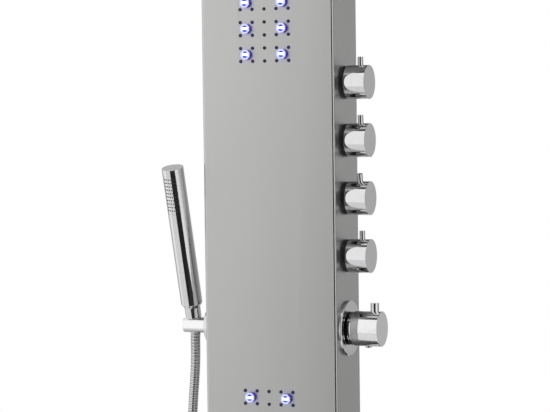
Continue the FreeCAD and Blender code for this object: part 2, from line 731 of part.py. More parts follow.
def water_box(label, first_row, rows, spigot_x, spigot_side):
    """A water chamber, open to its mat; its pipe comes from below or from the left."""
    body = new_body(label, y=MAT_BACK)
    low = f"(0 - {first_row} - grid_pitch * {rows - 1} - mat_margin)"
    high = f"(mat_margin - {first_row})"
    left, right = f"(grid_shift - {GRID_HALF})", f"(grid_shift + {GRID_HALF})"
    base = sketch_on(body, "XZ_Plane", "0 - box_depth")
    rectangle(base, left, right, low, high)
    pad(body, base, "box_depth")
    if spigot_side == "below":
        spigot = sketch_on(body, "XY_Plane", low)
        circles(spigot, [(spigot_x, "box_depth / 2")], "spigot_radius")
        pad(body, spigot, "spigot_length", back=True)
    else:
        spigot = sketch_on(body, "YZ_Plane", left)
        circles(spigot, [("box_depth / 2", f"({low} + {high}) / 2")], "spigot_radius")
        pad(body, spigot, "spigot_length", back=True)
    inside = sketch_on(body, "XZ_Plane")
    rectangle(inside, f"{left} + box_wall", f"{right} - box_wall", f"{low} + box_wall", f"{high} - box_wall")
    pocket(body, inside, "box_depth - box_wall")
    return body


# ---------------------------------------------------------------- body jets


def jet_body(label, place):
    """A body on a jet's axis; its own Y = 0 is the sheet's front face, and outwards is -Y."""
    return new_body(label, x=place[0], y=FRONT, z=place[1])


def jet_socket(index, place):
    """A threaded barrel through the sheet with the ball's rear seat and a flange behind the mat."""
    body = jet_body(f"jet_socket_{index}", place)
    flange = "(sheet_wall + mat_thick)"
    bore, seat = "(ball_radius * 0.75)", "(ball_radius + ball_play)"
    turn(
        body,
        (
            (bore, "jet_barrel_length"),
            (bore, "jet_edge"),
            (seat, "jet_edge"),
            (seat, "0 - jet_seat"),
            ("jet_barrel", "0 - jet_seat"),
            ("jet_barrel", flange),
            ("jet_flange", flange),
            ("jet_flange", f"{flange} + jet_flange_thick"),
            ("jet_barrel", f"{flange} + jet_flange_thick"),
            ("jet_barrel", "jet_barrel_length"),
        ),
        "Y",
    )
    return body


def jet_ring(index, place):
    """The clear ring on the sheet that holds the ball, with finger scallops round its rim."""
    body = jet_body(f"jet_ring_{index}", place)
    cavity = "(ball_radius + ball_play)"
    turn(
        body,
        (
            ("jet_barrel + thread_gap", "0"),
            ("jet_ring_radius", "0"),
            ("jet_ring_radius", "jet_edge - jet_stand"),
            ("jet_ring_radius - jet_edge", "0 - jet_stand"),
            ("jet_lip", "0 - jet_stand"),
            ("jet_lip", "jet_lip_depth - jet_stand"),
            (cavity, "jet_lip_depth - jet_stand"),
            (cavity, "0 - jet_seat"),
            ("jet_barrel + thread_gap", "0 - jet_seat"),
        ),
        "Y",
    )
    scallop = sketch_on(body, "XZ_Plane", "jet_stand")
    circles(scallop, [("jet_ring_radius + scallop_radius - scallop_depth", "0")], "scallop_radius")
    cut = pocket(body, scallop, "jet_stand - ring_foot")
    repeat_round(body, cut, scallop, SCALLOPS)
    return body


def led_ring(index, place):
    """A ring board of lights round the socket, in the mat's pocket."""
    body = jet_body(f"led_ring_{index}", place)
    inner = "jet_barrel + thread_gap"
    turn(
        body,
        (
            (inner, "sheet_wall"),
            ("led_radius", "sheet_wall"),
            ("led_radius", "sheet_wall + led_thick"),
            (inner, "sheet_wall + led_thick"),
        ),
        "Y",
    )
    return body


def jet_nozzle(index, place):
    """The ball that aims the jet: a sphere cut flat at both ends, with the water hole through it."""
    body = jet_body(f"jet_nozzle_{index}", place)
    ball = body.newObject("PartDesign::AdditiveSphere", body.Name + "_ball")
    ball.Placement = FreeCAD.Placement(FreeCAD.Vector(), FreeCAD.Rotation(FreeCAD.Vector(0, 1, 0), 90))
    tie(ball, Radius="ball_radius", Placement__Base__y="0 - ball_out")
    for lift, ahead in (("ball_out + ball_radius", False), ("ball_out - ball_radius", True)):
        square = sketch_on(body, "XZ_Plane", lift)
        rectangle(square, "0 - ball_radius", "ball_radius", "0 - ball_radius", "ball_radius")
        pocket(body, square, "ball_radius - ball_flat", ahead)
    hole = sketch_on(body, "XZ_Plane", "ball_out + ball_radius")
    circles(hole, [("0", "0")], "jet_orifice")
    pocket(body, hole, "ball_radius * 2")
    return body


# ---------------------------------------------------------------- stop valves


def knob_profile(radius, wall, start, end, shaft, shaft_end):
    """A cup with a hub and a blind bore, along X from start to its end face."""
    return (
        (end, "0"),
        (end, f"{radius} - knob_chamfer"),
        (f"{end} - knob_chamfer", radius),
        (start, radius),
        (start, f"{radius} - {wall}"),
        (f"{end} - knob_face", f"{radius} - {wall}"),
        (f"{end} - knob_face", "hub_radius"),
        (f"{start} + 2", "hub_radius"),
        (f"{start} + 2", f"{shaft} + spindle_play"),
        (shaft_end, f"{shaft} + spindle_play"),
        (shaft_end, "0"),
    )


def lever_pin(body, radius, wall, pin, x):
    """The lever pin: it starts inside the knob's wall and stands up from it."""
    foot = sketch_on(body, "XY_Plane", f"{radius} - {wall} / 2")
    circles(foot, [(x, "0")], pin)
    return pad(body, foot, f"{wall} / 2 + pin_stand")


def stop_knob(index):
    """A chrome cup knob with its lever pin, turned as the photograph shows it."""
    start, end = f"({SIDE} + ring_length + running_gap)", f"({SIDE} + knob_reach)"
    body = new_body(f"stop_knob_{index + 1}", y=AXIS_Y, z=KNOB_Z[index], turn=str(KNOB_REST[index]))
    shaft_end = f"{end} - knob_face - hub_lip"
    turn(body, knob_profile("knob_radius", "knob_wall", start, end, "spindle_radius", shaft_end), "X")
    lever_pin(body, "knob_radius", "knob_wall", "pin_radius", f"{end} - pin_back")
    return body


def stop_spindle(index):
    """The spindle of a ceramic cartridge, held in the knob's hub."""
    body = new_body(f"stop_spindle_{index + 1}", y=AXIS_Y, z=KNOB_Z[index], turn=str(KNOB_REST[index]))
    start, end = f"({SIDE} - spindle_depth)", f"({SIDE} + knob_reach - knob_face - hub_lip)"
    turn(body, ((start, "0"), (start, "spindle_radius"), (end, "spindle_radius"), (end, "0")), "X")
    return body


def stop_cartridge(index):
    """A ceramic cartridge inside its valve, open towards its spindle."""
    body = new_body(f"stop_cartridge_{index + 1}", y=AXIS_Y, z=KNOB_Z[index])
    end = f"({SIDE} + neck_stand)"
    start, bore = f"({end} - cartridge_length)", "spindle_radius + spindle_play"
    depth = f"{SIDE} - spindle_depth"
    turn(
        body,
        (
            (start, "0"),
            (start, "cartridge_radius"),
            (end, "cartridge_radius"),
            (end, bore),
            (depth, bore),
            (depth, "0"),
        ),
        "X",
    )
    return body


def stop_ring(index):
    """The black ring nut that clamps a valve's neck to the side sheet."""
    body = new_body(f"stop_ring_{index + 1}", y=AXIS_Y, z=KNOB_Z[index])
    end, bore = f"{SIDE} + ring_length", "neck_radius + thread_gap"
    turn(body, ((SIDE, bore), (SIDE, "ring_radius"), (end, "ring_radius"), (end, bore)), "X")
    return body


def valve_manifold():
    """One brass casting: an upright tube with four valve bodies and their outlets."""
    body = new_body("valve_manifold", y=AXIS_Y, z=KNOB_Z[0])
    tube = sketch_on(body, "XY_Plane", "manifold_end")
    circles(tube, [(MANIFOLD_X, "0")], "manifold_radius")
    pad(body, tube, f"manifold_end * 2 + knob_pitch * {KNOBS - 1}", back=True)
    bore, seat, end = "cartridge_radius + thread_gap", INNER, f"({SIDE} + neck_stand)"
    flange = f"({INNER} - flange_thick)"
    bottom = f"({end} - cartridge_length)"
    valve = turn(
        body,
        (
            (f"{MANIFOLD_X} - outlet_length", "0"),
            (f"{MANIFOLD_X} - outlet_length", "spigot_radius"),
            (MANIFOLD_X, "spigot_radius"),
            (MANIFOLD_X, "valve_boss"),
            (flange, "valve_boss"),
            (flange, "valve_flange"),
            (seat, "valve_flange"),
            (seat, "neck_radius"),
            (end, "neck_radius"),
            (end, bore),
            (bottom, bore),
            (bottom, "0"),
        ),
        "X",
    )
    row = body.newObject("PartDesign::LinearPattern", "valve_row")
    row.Originals = [valve]
    row.Direction = (next(f for f in body.Origin.OriginFeatures if f.Role == "Z_Axis"), [""])
    row.Reversed = True
    row.Occurrences = KNOBS
    tie(row, Length=f"knob_pitch * {KNOBS - 1}")
    body.Tip = row
    return body


# ---------------------------------------------------------------- thermostatic mixer

MIXER_Z = f"(0 - {LAST_KNOB} - mixer_gap)"
SLEEVE_START = f"({SIDE} + rosette_thick + collar_length)"
SLEEVE_END = f"({SLEEVE_START} + sleeve_length)"
MIXER_END = f"({SIDE} + mixer_reach)"
BUTTON_X = f"({MIXER_END} - button_back)"


def mixer_part(label):
    """A body on the mixer's axis."""
    return new_body(label, y=AXIS_Y, z=MIXER_Z)


def mixer_body():
    """The brass body: a tube across the column, two threaded inlets below and an outlet above."""
    body = mixer_part("mixer_body")
    left, flange, seat = "(0 - mixer_tail)", f"({INNER} - flange_thick)", INNER
    end = f"({SIDE} + mixer_neck_stand)"
    bottom = f"({SIDE} + mixer_cartridge_stand - mixer_cartridge_length)"
    bore = "mixer_cartridge_radius + thread_gap"
    turn(
        body,
        (
            (left, "0"),
            (left, "mixer_body_radius - 2"),
            (f"{left} + 2", "mixer_body_radius"),
            (flange, "mixer_body_radius"),
            (flange, "mixer_seat"),
            (seat, "mixer_seat"),
            (seat, "mixer_neck"),
            (end, "mixer_neck"),
            (end, bore),
            (bottom, bore),
            (bottom, "0"),
        ),
        "X",
    )
    for top, radius, length in (
        ("4 - mixer_body_radius", "inlet_neck_radius", "4 + inlet_neck"),
        ("0 - mixer_body_radius - inlet_neck", "inlet_radius", "inlet_length"),
    ):
        inlets = sketch_on(body, "XY_Plane", top)
        circles(inlets, [("inlet_left", "0"), ("inlet_right", "0")], radius)
        pad(body, inlets, length, back=True)
    outlet = sketch_on(body, "XY_Plane", "mixer_body_radius - 3")
    circles(outlet, [(MANIFOLD_X, "0")], "spigot_radius")
    pad(body, outlet, "3 + inlet_neck")
    return body


def mixer_cartridge():
    """The thermostatic cartridge, open towards its spindle."""
    body = mixer_part("mixer_cartridge")
    end = f"({SIDE} + mixer_cartridge_stand)"
    start, bore = f"({end} - mixer_cartridge_length)", "mixer_spindle_radius + spindle_play"
    depth = f"{SIDE} - spindle_depth"
    turn(
        body,
        (
            (start, "0"),
            (start, "mixer_cartridge_radius"),
            (end, "mixer_cartridge_radius"),
            (end, bore),
            (depth, bore),
            (depth, "0"),
        ),
        "X",
    )
    return body


def mixer_flange():
    """The round disc that covers the mixer's hole."""
    body = mixer_part("mixer_flange")
    bore, end = "mixer_neck + thread_gap", f"{SIDE} + rosette_thick"
    turn(
        body,
        (
            (SIDE, bore),
            (SIDE, "rosette_radius"),
            (f"{end} - disc_edge", "rosette_radius"),
            (end, "rosette_radius - disc_edge"),
            (end, bore),
        ),
        "X",
    )
    return body


def mixer_collar():
    """The ring nut with a waist and a grooved rim that clamps the disc."""
    body = mixer_part("mixer_collar")
    start, bore = f"({SIDE} + rosette_thick)", "mixer_neck + thread_gap"
    rim, groove = f"({start} + collar_waist)", "collar_rim - groove_depth"
    turn(
        body,
        (
            (start, bore),
            (start, "collar_radius"),
            (rim, "collar_radius"),
            (rim, "collar_rim"),
            (f"{rim} + rim_step", "collar_rim"),
            (f"{rim} + rim_step", groove),
            (f"{rim} + rim_step + groove_width", groove),
            (f"{rim} + rim_step + groove_width", "collar_rim"),
            (SLEEVE_START, "collar_rim"),
            (SLEEVE_START, bore),
        ),
        "X",
    )
    return body


def mixer_sleeve():
    """The fixed sleeve with the temperature stops, under the knob."""
    body = mixer_part("mixer_sleeve")
    bore = "mixer_cartridge_radius + thread_gap"
    end = f"{SLEEVE_END}"
    turn(
        body,
        (
            (SLEEVE_START, bore),
            (SLEEVE_START, "sleeve_radius - small_edge"),
            (f"{SLEEVE_START} + small_edge", "sleeve_radius"),
            (end, "sleeve_radius"),
            (end, bore),
        ),
        "X",
    )
    return body


def mixer_knob():
    """The temperature knob with its lever pin and the button's hole below."""
    body = mixer_part("mixer_knob")
    start, shaft_end = f"({SLEEVE_END} + running_gap)", f"{MIXER_END} - knob_face - hub_lip"
    turn(
        body,
        knob_profile(
            "mixer_knob_radius", "mixer_knob_wall", start, MIXER_END, "mixer_spindle_radius", shaft_end
        ),
        "X",
    )
    pin_x = f"{MIXER_END} - mixer_pin_back"
    lever_pin(body, "mixer_knob_radius", "mixer_knob_wall", "mixer_pin_radius", pin_x)
    hole = sketch_on(body, "XY_Plane", "0 - hub_radius - 2")
    circles(hole, [(BUTTON_X, "0")], "button_radius + button_play")
    pocket(body, hole, "mixer_knob_radius")
    return body


def mixer_spindle():
    """The thermostat's spindle, held in the temperature knob's hub."""
    body, radius = mixer_part("mixer_spindle"), "mixer_spindle_radius"
    start, end = f"({SIDE} - spindle_depth)", f"({MIXER_END} - knob_face - hub_lip)"
    turn(body, ((start, "0"), (start, radius), (end, radius), (end, "0")), "X")
    return body


BUTTON_FLANGE = "(mixer_knob_radius - mixer_knob_wall - button_seat)"


def override_button():
    """The button below the knob that releases the temperature stop."""
    body = new_body("override_button", x=BUTTON_X, y=AXIS_Y, z=MIXER_Z)
    face = "(0 - mixer_knob_radius - button_stand)"
    turn(
        body,
        (
            ("0", face),
            ("button_radius - small_edge", face),
            ("button_radius", f"{face} + small_edge"),
            ("button_radius", f"0 - {BUTTON_FLANGE}"),
            ("button_head", f"0 - {BUTTON_FLANGE}"),
            ("button_head", f"button_head_thick - {BUTTON_FLANGE}"),
            ("0", f"button_head_thick - {BUTTON_FLANGE}"),
        ),
        "Z",
    )
    return body


def override_spring():
    """The button's coil spring between its flange and the knob's hub."""
    wire = number("spring_wire")
    low = number(f"{MIXER_Z} - {BUTTON_FLANGE} + button_head_thick") + wire
    high = number(f"{MIXER_Z} - hub_radius") - wire - 0.1
    turns, radius = number("spring_turns"), number("spring_radius")
    helix = Part.makeHelix((high - low) / turns, high - low, radius)
    ring = Part.Wire([Part.Circle(FreeCAD.Vector(radius, 0, 0), FreeCAD.Vector(0, 1, 0), wire).toShape()])
    piece = doc.addObject("Part::Feature", "override_spring")
    piece.Label = "override_spring"
    piece.Shape = Part.Wire(helix).makePipeShell([ring], True, True)
    tie(piece, Placement__Base__x=BUTTON_X, Placement__Base__y=AXIS_Y)
    piece.Placement.Base.z = low
    tie(piece, Placement__Base__z=f"{MIXER_Z} - {BUTTON_FLANGE} + button_head_thick + spring_wire")
    return piece


# ---------------------------------------------------------------- hand shower and holder

HAND_X = f"(0 - {SIDE} - hand_out)"
HOLDER_Z = "(0 - holder_drop)"


def hand_part(label):
    """A body on the hand shower's axis; its own Z = 0 is the middle of the holder's arm."""
    return new_body(label, x=HAND_X, y=AXIS_Y, z=HOLDER_Z, turn="hand_lean")


def nut_outline(bore, face):
    """A hose nut's half section: a short shank, then a cone, with its thread and the hose's seat."""
    return (
        ("hose_radius - hose_wall", "0 - hose_nut_tail"),
        ("hose_nut_foot - small_edge", "0 - hose_nut_tail"),
        ("hose_nut_foot", "0 - hose_nut_cone"),
        ("hose_nut_radius", "hose_nut_cone"),
        ("hose_nut_radius", f"{face} - 0.4"),
        ("hose_nut_radius - fine_edge", face),
        (bore, face),
        (bore, "neck_end"),
        ("hose_radius - hose_wall", "neck_end"),
    )


def hose_nut_upper():
    """The conical nut on the hand shower's end, which rests in the holder."""
    body = hand_part("hose_nut_upper")
    turn(body, nut_outline("neck_bore_radius + thread_gap", "hose_nut_top"), "Z")
    return body


def hand_shower_tube():
    """The round grip: a tube with a chamfered foot, a threaded end and the spray window."""
    body = hand_part("hand_shower_tube")
    inner, foot = "(tube_radius - tube_wall)", "hose_nut_top"
    turn(
        body,
        (
            ("hose_radius - hose_wall", "neck_end"),
            ("neck_bore_radius", "neck_end"),
            ("neck_bore_radius", foot),
            ("tube_foot", foot),
            ("tube_radius", f"{foot} + tube_taper"),
            ("tube_radius", "tube_top"),
            (inner, "tube_top"),
            (inner, f"{foot} + tube_taper"),
            ("tube_foot - tube_wall", f"{foot} + foot_wall"),
            ("hose_radius - hose_wall", f"{foot} + foot_wall"),
        ),
        "Z",
    )
    window = sketch_on(body, "XZ_Plane", "tube_radius + 1")
    top = "window_foot + window_height"
    rectangle(window, "0 - window_width / 2", "window_width / 2", "window_foot", top)
    pocket(body, window, "tube_radius / 2")
    return body


def hand_shower_insert():
    """The curved spray plate in the tube's window."""
    outer = cylinder("insert_outer", "tube_radius - 0.1", "window_height - 2 * cap_fit")
    inner = cylinder("insert_inner", "tube_radius - tube_wall", "window_height - 2 * cap_fit")
    ring = doc.addObject("Part::Cut", "insert_ring")
    ring.Base, ring.Tool = outer, inner
    block = doc.addObject("Part::Box", "insert_block")
    width, height = "window_width - 2 * cap_fit", "window_height - 2 * cap_fit"
    tie(block, Length=width, Width="tube_radius", Height=height)
    tie(block, Placement__Base__x="cap_fit - window_width / 2", Placement__Base__y="0 - tube_radius")
    piece = doc.addObject("Part::Common", "hand_shower_insert")
    piece.Label = "hand_shower_insert"
    piece.Base, piece.Tool = ring, block
    lean = math.radians(number("hand_lean"))
    lift = "(window_foot + cap_fit)"
    piece.Placement = FreeCAD.Placement(
        FreeCAD.Vector(), FreeCAD.Rotation(FreeCAD.Vector(1, 0, 0), math.degrees(lean))
    )
    tie(
        piece,
        Placement__Rotation__Angle="hand_lean",
        Placement__Base__x=HAND_X,
        Placement__Base__y=f"{AXIS_Y} - {lift} * sin(hand_lean * 1 deg)",
        Placement__Base__z=f"{HOLDER_Z} + {lift} * cos(hand_lean * 1 deg)",
    )
    return piece


def hand_shower_cap():
    """The flat cap on the tube, with its plug."""
    body = hand_part("hand_shower_cap")
    plug, top = "tube_radius - tube_wall - thread_gap", "tube_top + top_thick"
    turn(
        body,
        (
            ("0", "tube_top - top_plug"),
            (plug, "tube_top - top_plug"),
            (plug, "tube_top"),
            ("tube_radius", "tube_top"),
            ("tube_radius", f"{top} - small_edge"),
            ("tube_radius - small_edge", top),
            ("0", top),
        ),
        "Z",
    )
    return body


def holder_arm():
    """The rounded arm with its conical seat, the hose slot in its end and its threaded tail."""
    bar = new_body("holder_bar", y=AXIS_Y, z=HOLDER_Z)
    start, end = f"(0 - {SIDE} - base_length)", f"(0 - {SIDE} - arm_reach)"
    section = sketch_on(bar, "YZ_Plane", end)
    half_y, half_z = "arm_depth / 2", "arm_height / 2"
    rectangle(section, f"0 - {half_y}", half_y, f"0 - {half_z}", half_z)
    pad(bar, section, f"{start} - {end}")
    round_edges(
        bar,
        "arm_round",
        lambda e: any(
            runs_at(e, y=f"{a}({half_y})", z=f"{b}({half_z})") for a in ("", "0 - ") for b in ("", "0 - ")
        ),
    )
    round_edges(bar, "arm_end_round", lambda e: all(abs(v.X - number(end)) < 1e-4 for v in e.Vertexes))
    tail = sketch_on(bar, "YZ_Plane", start)
    circles(tail, [("0", "0")], "bolt_radius")
    pad(bar, tail, "base_length + sheet_wall + bolt_length")
    cone = doc.addObject("Part::Cone", "holder_seat")
    tie(
        cone,
        Radius1="hose_nut_foot + seat_gap - (hose_nut_radius - hose_nut_foot) / 2",
        Radius2="hose_nut_radius + seat_gap + (hose_nut_radius - hose_nut_foot) / 2",
        Height="hose_nut_cone * 4",
    )
    slot = doc.addObject("Part::Box", "holder_slot")
    tie(slot, Length="arm_reach", Width="slot_width", Height="hose_nut_cone * 4")
    for tool, x, y in ((cone, "0", "0"), (slot, "0 - arm_reach", "slot_width / 2")):
        tool.Placement = FreeCAD.Placement(FreeCAD.Vector(), FreeCAD.Rotation(FreeCAD.Vector(1, 0, 0), 1))
        drop = "(0 - hose_nut_cone * 2)"
        tie(
            tool,
            Placement__Rotation__Angle="hand_lean",
            Placement__Base__x=f"{HAND_X} + {x}",
            Placement__Base__y=f"{AXIS_Y} - {drop} * sin(hand_lean * 1 deg) - {y} * cos(hand_lean * 1 deg)",
            Placement__Base__z=f"{HOLDER_Z} + {drop} * cos(hand_lean * 1 deg) - {y} * sin(hand_lean * 1 deg)",
        )
    tools = doc.addObject("Part::Fuse", "holder_tools")
    tools.Base, tools.Tool = cone, slot
    arm = doc.addObject("Part::Cut", "holder_arm")
    arm.Label = "holder_arm"
    arm.Base, arm.Tool = bar, tools
    return arm


def holder_base():
    """The round base between the arm and the column's left side."""
    body = new_body("holder_base", y=AXIS_Y, z=HOLDER_Z)
    start, end, bore = f"(0 - {SIDE})", f"(0 - {SIDE} - base_length)", "bolt_radius + thread_gap"
    turn(
        body,
        (
            (start, bore),
            (start, "base_radius"),
            (f"{end} + 3", "base_radius"),
            (f"{end} + 1", "base_radius - 0.8"),
            (end, "base_radius - 3"),
            (end, bore),
        ),
        "X",
    )
    return body


def holder_nut():
    """The hexagon nut on the arm's tail, inside the column."""
    body = new_body("holder_nut", y=AXIS_Y, z=HOLDER_Z)
    section = sketch_on(body, "YZ_Plane", f"0 - {INNER}")
    outline(section, hexagon("nut_radius"))
    pad(body, section, "nut_thick")
    hole = sketch_on(body, "YZ_Plane", f"nut_thick + 1 - {INNER}")
    circles(hole, [("0", "0")], "bolt_radius + thread_gap")
    pocket(body, hole, "nut_thick + 2")
    return body


# ---------------------------------------------------------------- outlet at the foot

FOOT_Z = "(0 - column_drop)"
NUT_Z = f"({FOOT_Z} - nipple_flange_thick)"


def hose_outlet():
    """The threaded outlet through the bottom cap."""
    body = new_body("hose_outlet", x="outlet_side", y=AXIS_Y, z=FOOT_Z)
    thread = "neck_bore_radius"
    turn(
        body,
        (
            ("hose_radius - hose_wall", "0 - nipple_flange_thick - nipple_thread"),
            (thread, "0 - nipple_flange_thick - nipple_thread"),
            (thread, "0 - nipple_flange_thick"),
            ("nipple_flange", "0 - nipple_flange_thick"),
            ("nipple_flange", "0"),
            ("nipple_radius", "0"),
            ("nipple_radius", "nipple_rise"),
            ("hose_radius - hose_wall", "nipple_rise"),
        ),
        "Z",
    )
    return body


def outlet_lock_nut():
    """The hexagon nut that holds the outlet in the cap."""
    body = new_body("outlet_lock_nut", x="outlet_side", y=AXIS_Y, z=f"{FOOT_Z} + sheet_wall")
    section = sketch_on(body, "XY_Plane")
    outline(section, hexagon("lock_nut"))
    pad(body, section, "lock_nut_thick")
    hole = sketch_on(body, "XY_Plane", "lock_nut_thick + 1")
    circles(hole, [("0", "0")], "nipple_radius + thread_gap")
    pocket(body, hole, "lock_nut_thick + 2")
    return body


def hose_nut_lower():
    """The hose's other nut, on the outlet's thread."""
    body = new_body("hose_nut_lower", x="outlet_side", y=AXIS_Y, z=NUT_Z)
    bore = "neck_bore_radius + thread_gap"
    turn(
        body,
        (
            (bore, "0"),
            ("hose_nut_radius - fine_edge", "0"),
            ("hose_nut_radius", "0 - fine_edge"),
            ("hose_nut_radius", "0 - nipple_thread"),
            ("hose_nut_foot - small_edge", "0 - lower_nut_length"),
            ("hose_radius - hose_wall", "0 - lower_nut_length"),
            ("hose_radius - hose_wall", "0 - nipple_thread - thread_gap"),
            (bore, "0 - nipple_thread - thread_gap"),
        ),
        "Z",
    )
    return body


# ---------------------------------------------------------------- inner pipes and the hose

PIPE_BEND = 18  # inner bend radius of the pipes' centre lines


def inner_pipe(label, points):
    """An inner pipe through points that are triples of expressions."""
    spots = [tuple(number(c) for c in p) for p in points]
    piece, length, _ = swept_tube(label, spots, number("pipe_radius"), PIPE_BEND)
    print(f"{label}: {length:.0f} mm")
    return piece


def pipes():
    """The four outlet pipes and the supply from the mixer to the manifold."""
    out_x = f"{MANIFOLD_X} - outlet_length"
    box_y = f"{MAT_BACK} + box_depth / 2"
    upper_low = f"(0 - upper_row - grid_pitch * {UPPER_ROWS - 1} - mat_margin)"
    lower_z = f"(0 - lower_row - grid_pitch * {(LOWER_ROWS - 1) / 2})"
    left = f"(grid_shift - {GRID_HALF} - spigot_length)"
    yield inner_pipe(
        "head_pipe",
        (
            (out_x, AXIS_Y, KNOB_Z[0]),
            (HEAD_PIPE_X, AXIS_Y, KNOB_Z[0]),
            (HEAD_PIPE_X, AXIS_Y, HEAD_PIPE_Z),
            (HEAD_PIPE_X, f"{HEAD_BACK} + spigot_length", HEAD_PIPE_Z),
        ),
    )
    yield inner_pipe(
        "upper_jet_pipe",
        (
            (out_x, AXIS_Y, KNOB_Z[1]),
            ("grid_shift - upper_spigot", AXIS_Y, KNOB_Z[1]),
            ("grid_shift - upper_spigot", AXIS_Y, f"{upper_low} - pipe_turn"),
            ("grid_shift - upper_spigot", box_y, f"{upper_low} - spigot_length - side_bend"),
            ("grid_shift - upper_spigot", box_y, f"{upper_low} - spigot_length"),
        ),
    )
    behind = "(0 - valve_inset + mixer_body_radius + pipe_radius + pipe_gap)"
    beside = f"({left} - side_bend)"
    yield inner_pipe(
        "lower_jet_pipe",
        (
            (out_x, AXIS_Y, KNOB_Z[2]),
            (beside, AXIS_Y, KNOB_Z[2]),
            (beside, behind, f"{KNOB_Z[2]} - pipe_step"),
            (beside, behind, f"{MIXER_Z} - mixer_body_radius - pipe_clear"),
            (beside, box_y, lower_z),
            (left, box_y, lower_z),
        ),
    )
    yield inner_pipe(
        "hand_shower_pipe",
        (
            (out_x, AXIS_Y, KNOB_Z[3]),
            ("0", AXIS_Y, KNOB_Z[3]),
            ("0", behind, f"{KNOB_Z[3]} - pipe_step"),
            ("0", behind, f"{MIXER_Z} - pipe_drop"),
            ("outlet_side", AXIS_Y, f"{MIXER_Z} - pipe_drop - pipe_slant"),
            ("outlet_side", AXIS_Y, f"{FOOT_Z} + nipple_rise"),
        ),
    )
    supply = cylinder(
        "supply_pipe",
        "pipe_radius",
        "mixer_gap - manifold_end - mixer_body_radius - inlet_neck",
        MANIFOLD_X,
        AXIS_Y,
        f"{MIXER_Z} + mixer_body_radius + inlet_neck",
    )
    supply.Label = "supply_pipe"
    yield supply


def light_generator():
    """The small turbine housing on the supply pipe that feeds the jets' lights."""
    low, high = f"({MIXER_Z} + mixer_body_radius + inlet_neck)", f"(0 - {LAST_KNOB} - manifold_end)"
    body = new_body("light_generator", x=MANIFOLD_X, y=AXIS_Y, z=f"({low} + {high}) / 2")
    half, bore = "generator_length / 2", "pipe_radius + thread_gap"
    turn(
        body,
        (
            (bore, f"0 - {half}"),
            ("generator_radius - generator_step", f"0 - {half}"),
            ("generator_radius - generator_step", f"generator_step - {half}"),
            ("generator_radius", f"generator_step - {half}"),
            ("generator_radius", f"{half} - generator_step"),
            ("generator_radius - generator_step", f"{half} - generator_step"),
            ("generator_radius - generator_step", half),
            (bore, half),
        ),
        "Z",
    )
    return body


# The hose leaves its nut in the holder, hangs in a loop below the column and comes back up to the outlet.
HOSE_BELOW_HOLDER = (
    (-136.2, -34.84, -966.0),
    (-138.8, -31.5, -998.0),
    (-143.6, -33.5, -1056.0),
    (-147.2, -40.0, -1160.0),
    (-149.8, -46.5, -1290.0),
    (-150.6, -50.5, -1410.0),
    (-150.6, -52.4, -1515.0),
    (-149.6, -53.6, -1603.0),
    (-149.0, -54.0, -1679.7),
    (-124.3, -54.4, -1722.3),
    (-81.7, -54.2, -1747.0),
    (-32.3, -53.4, -1747.0),
    (10.3, -52.2, -1722.3),
    (35.0, -50.8, -1679.7),
    (37.0, -49.4, -1604.0),
    (37.2, -47.6, -1545.0),
    (34.4, -45.9, -1500.0),
)


def hose():
    """The free shower hose, as a plain tube along its real route."""
    lean, tail = math.radians(number("hand_lean")), number("hose_nut_tail")
    start = (
        number(HAND_X),
        number(AXIS_Y) + tail * math.sin(lean),
        number(HOLDER_Z) - tail * math.cos(lean),
    )
    end = (number("outlet_side"), number(AXIS_Y), number(f"{NUT_Z} - lower_nut_length"))
    above = (end[0], end[1], end[2] - number("hose_straight"))
    points = [start, *HOSE_BELOW_HOLDER, above, end]
    piece, length, radii = swept_tube("hose", points, number("hose_radius"))
    print(f"hose: {length:.0f} mm, radii " + " ".join(f"{r:.0f}" for r in radii))
    return piece


# ---------------------------------------------------------------- the whole column

nodes += [column_shell(), bottom_cap(), head_shell(), head_plate(), head_nozzle_mat(), head_water_box()]
nodes.append(nozzle_mat("upper_nozzle_mat", "upper_row", UPPER_ROWS, UPPER_TIPS, UPPER_JETS))
nodes.append(nozzle_mat("lower_nozzle_mat", "lower_row", LOWER_ROWS, LOWER_TIPS, LOWER_JETS))
nodes.append(water_box("upper_water_box", "upper_row", UPPER_ROWS, "grid_shift - upper_spigot", "below"))
nodes.append(water_box("lower_water_box", "lower_row", LOWER_ROWS, "0", "left"))
for name, maker in (("jet_sockets", jet_socket), ("jet_rings", jet_ring), ("led_rings", led_ring)):
    nodes.append(group(name, [maker(i + 1, place) for i, place in enumerate(JETS)]))
nodes += [jet_nozzle(i + 1, place) for i, place in enumerate(JETS)]
nodes.append(valve_manifold())
nodes.append(group("stop_cartridges", [stop_cartridge(i) for i in range(KNOBS)]))
nodes.append(group("stop_rings", [stop_ring(i) for i in range(KNOBS)]))
for i in range(KNOBS):
    nodes += [stop_knob(i), stop_spindle(i)]
nodes += [mixer_body(), mixer_cartridge(), mixer_flange(), mixer_collar(), mixer_sleeve()]
nodes += [mixer_knob(), mixer_spindle(), override_button(), override_spring()]
nodes += [hand_shower_tube(), hand_shower_cap(), hand_shower_insert(), hose_nut_upper()]
nodes += [holder_arm(), holder_base(), hose_outlet(), hose_nut_lower()]
nodes.append(group("lock_nuts", [holder_nut(), outlet_lock_nut()]))
nodes += list(pipes())
nodes.append(light_generator())
nodes.append(hose())
nodes.append(group("wall_brackets", [wall_bracket(i + 1, z) for i, z in enumerate(BRACKET_Z)]))
screws = [(z, flip) for z in BRACKET_Z for flip in ("0", "180")]
nodes.append(group("side_screws", [side_screw(i + 1, z, flip) for i, (z, flip) in enumerate(screws)]))

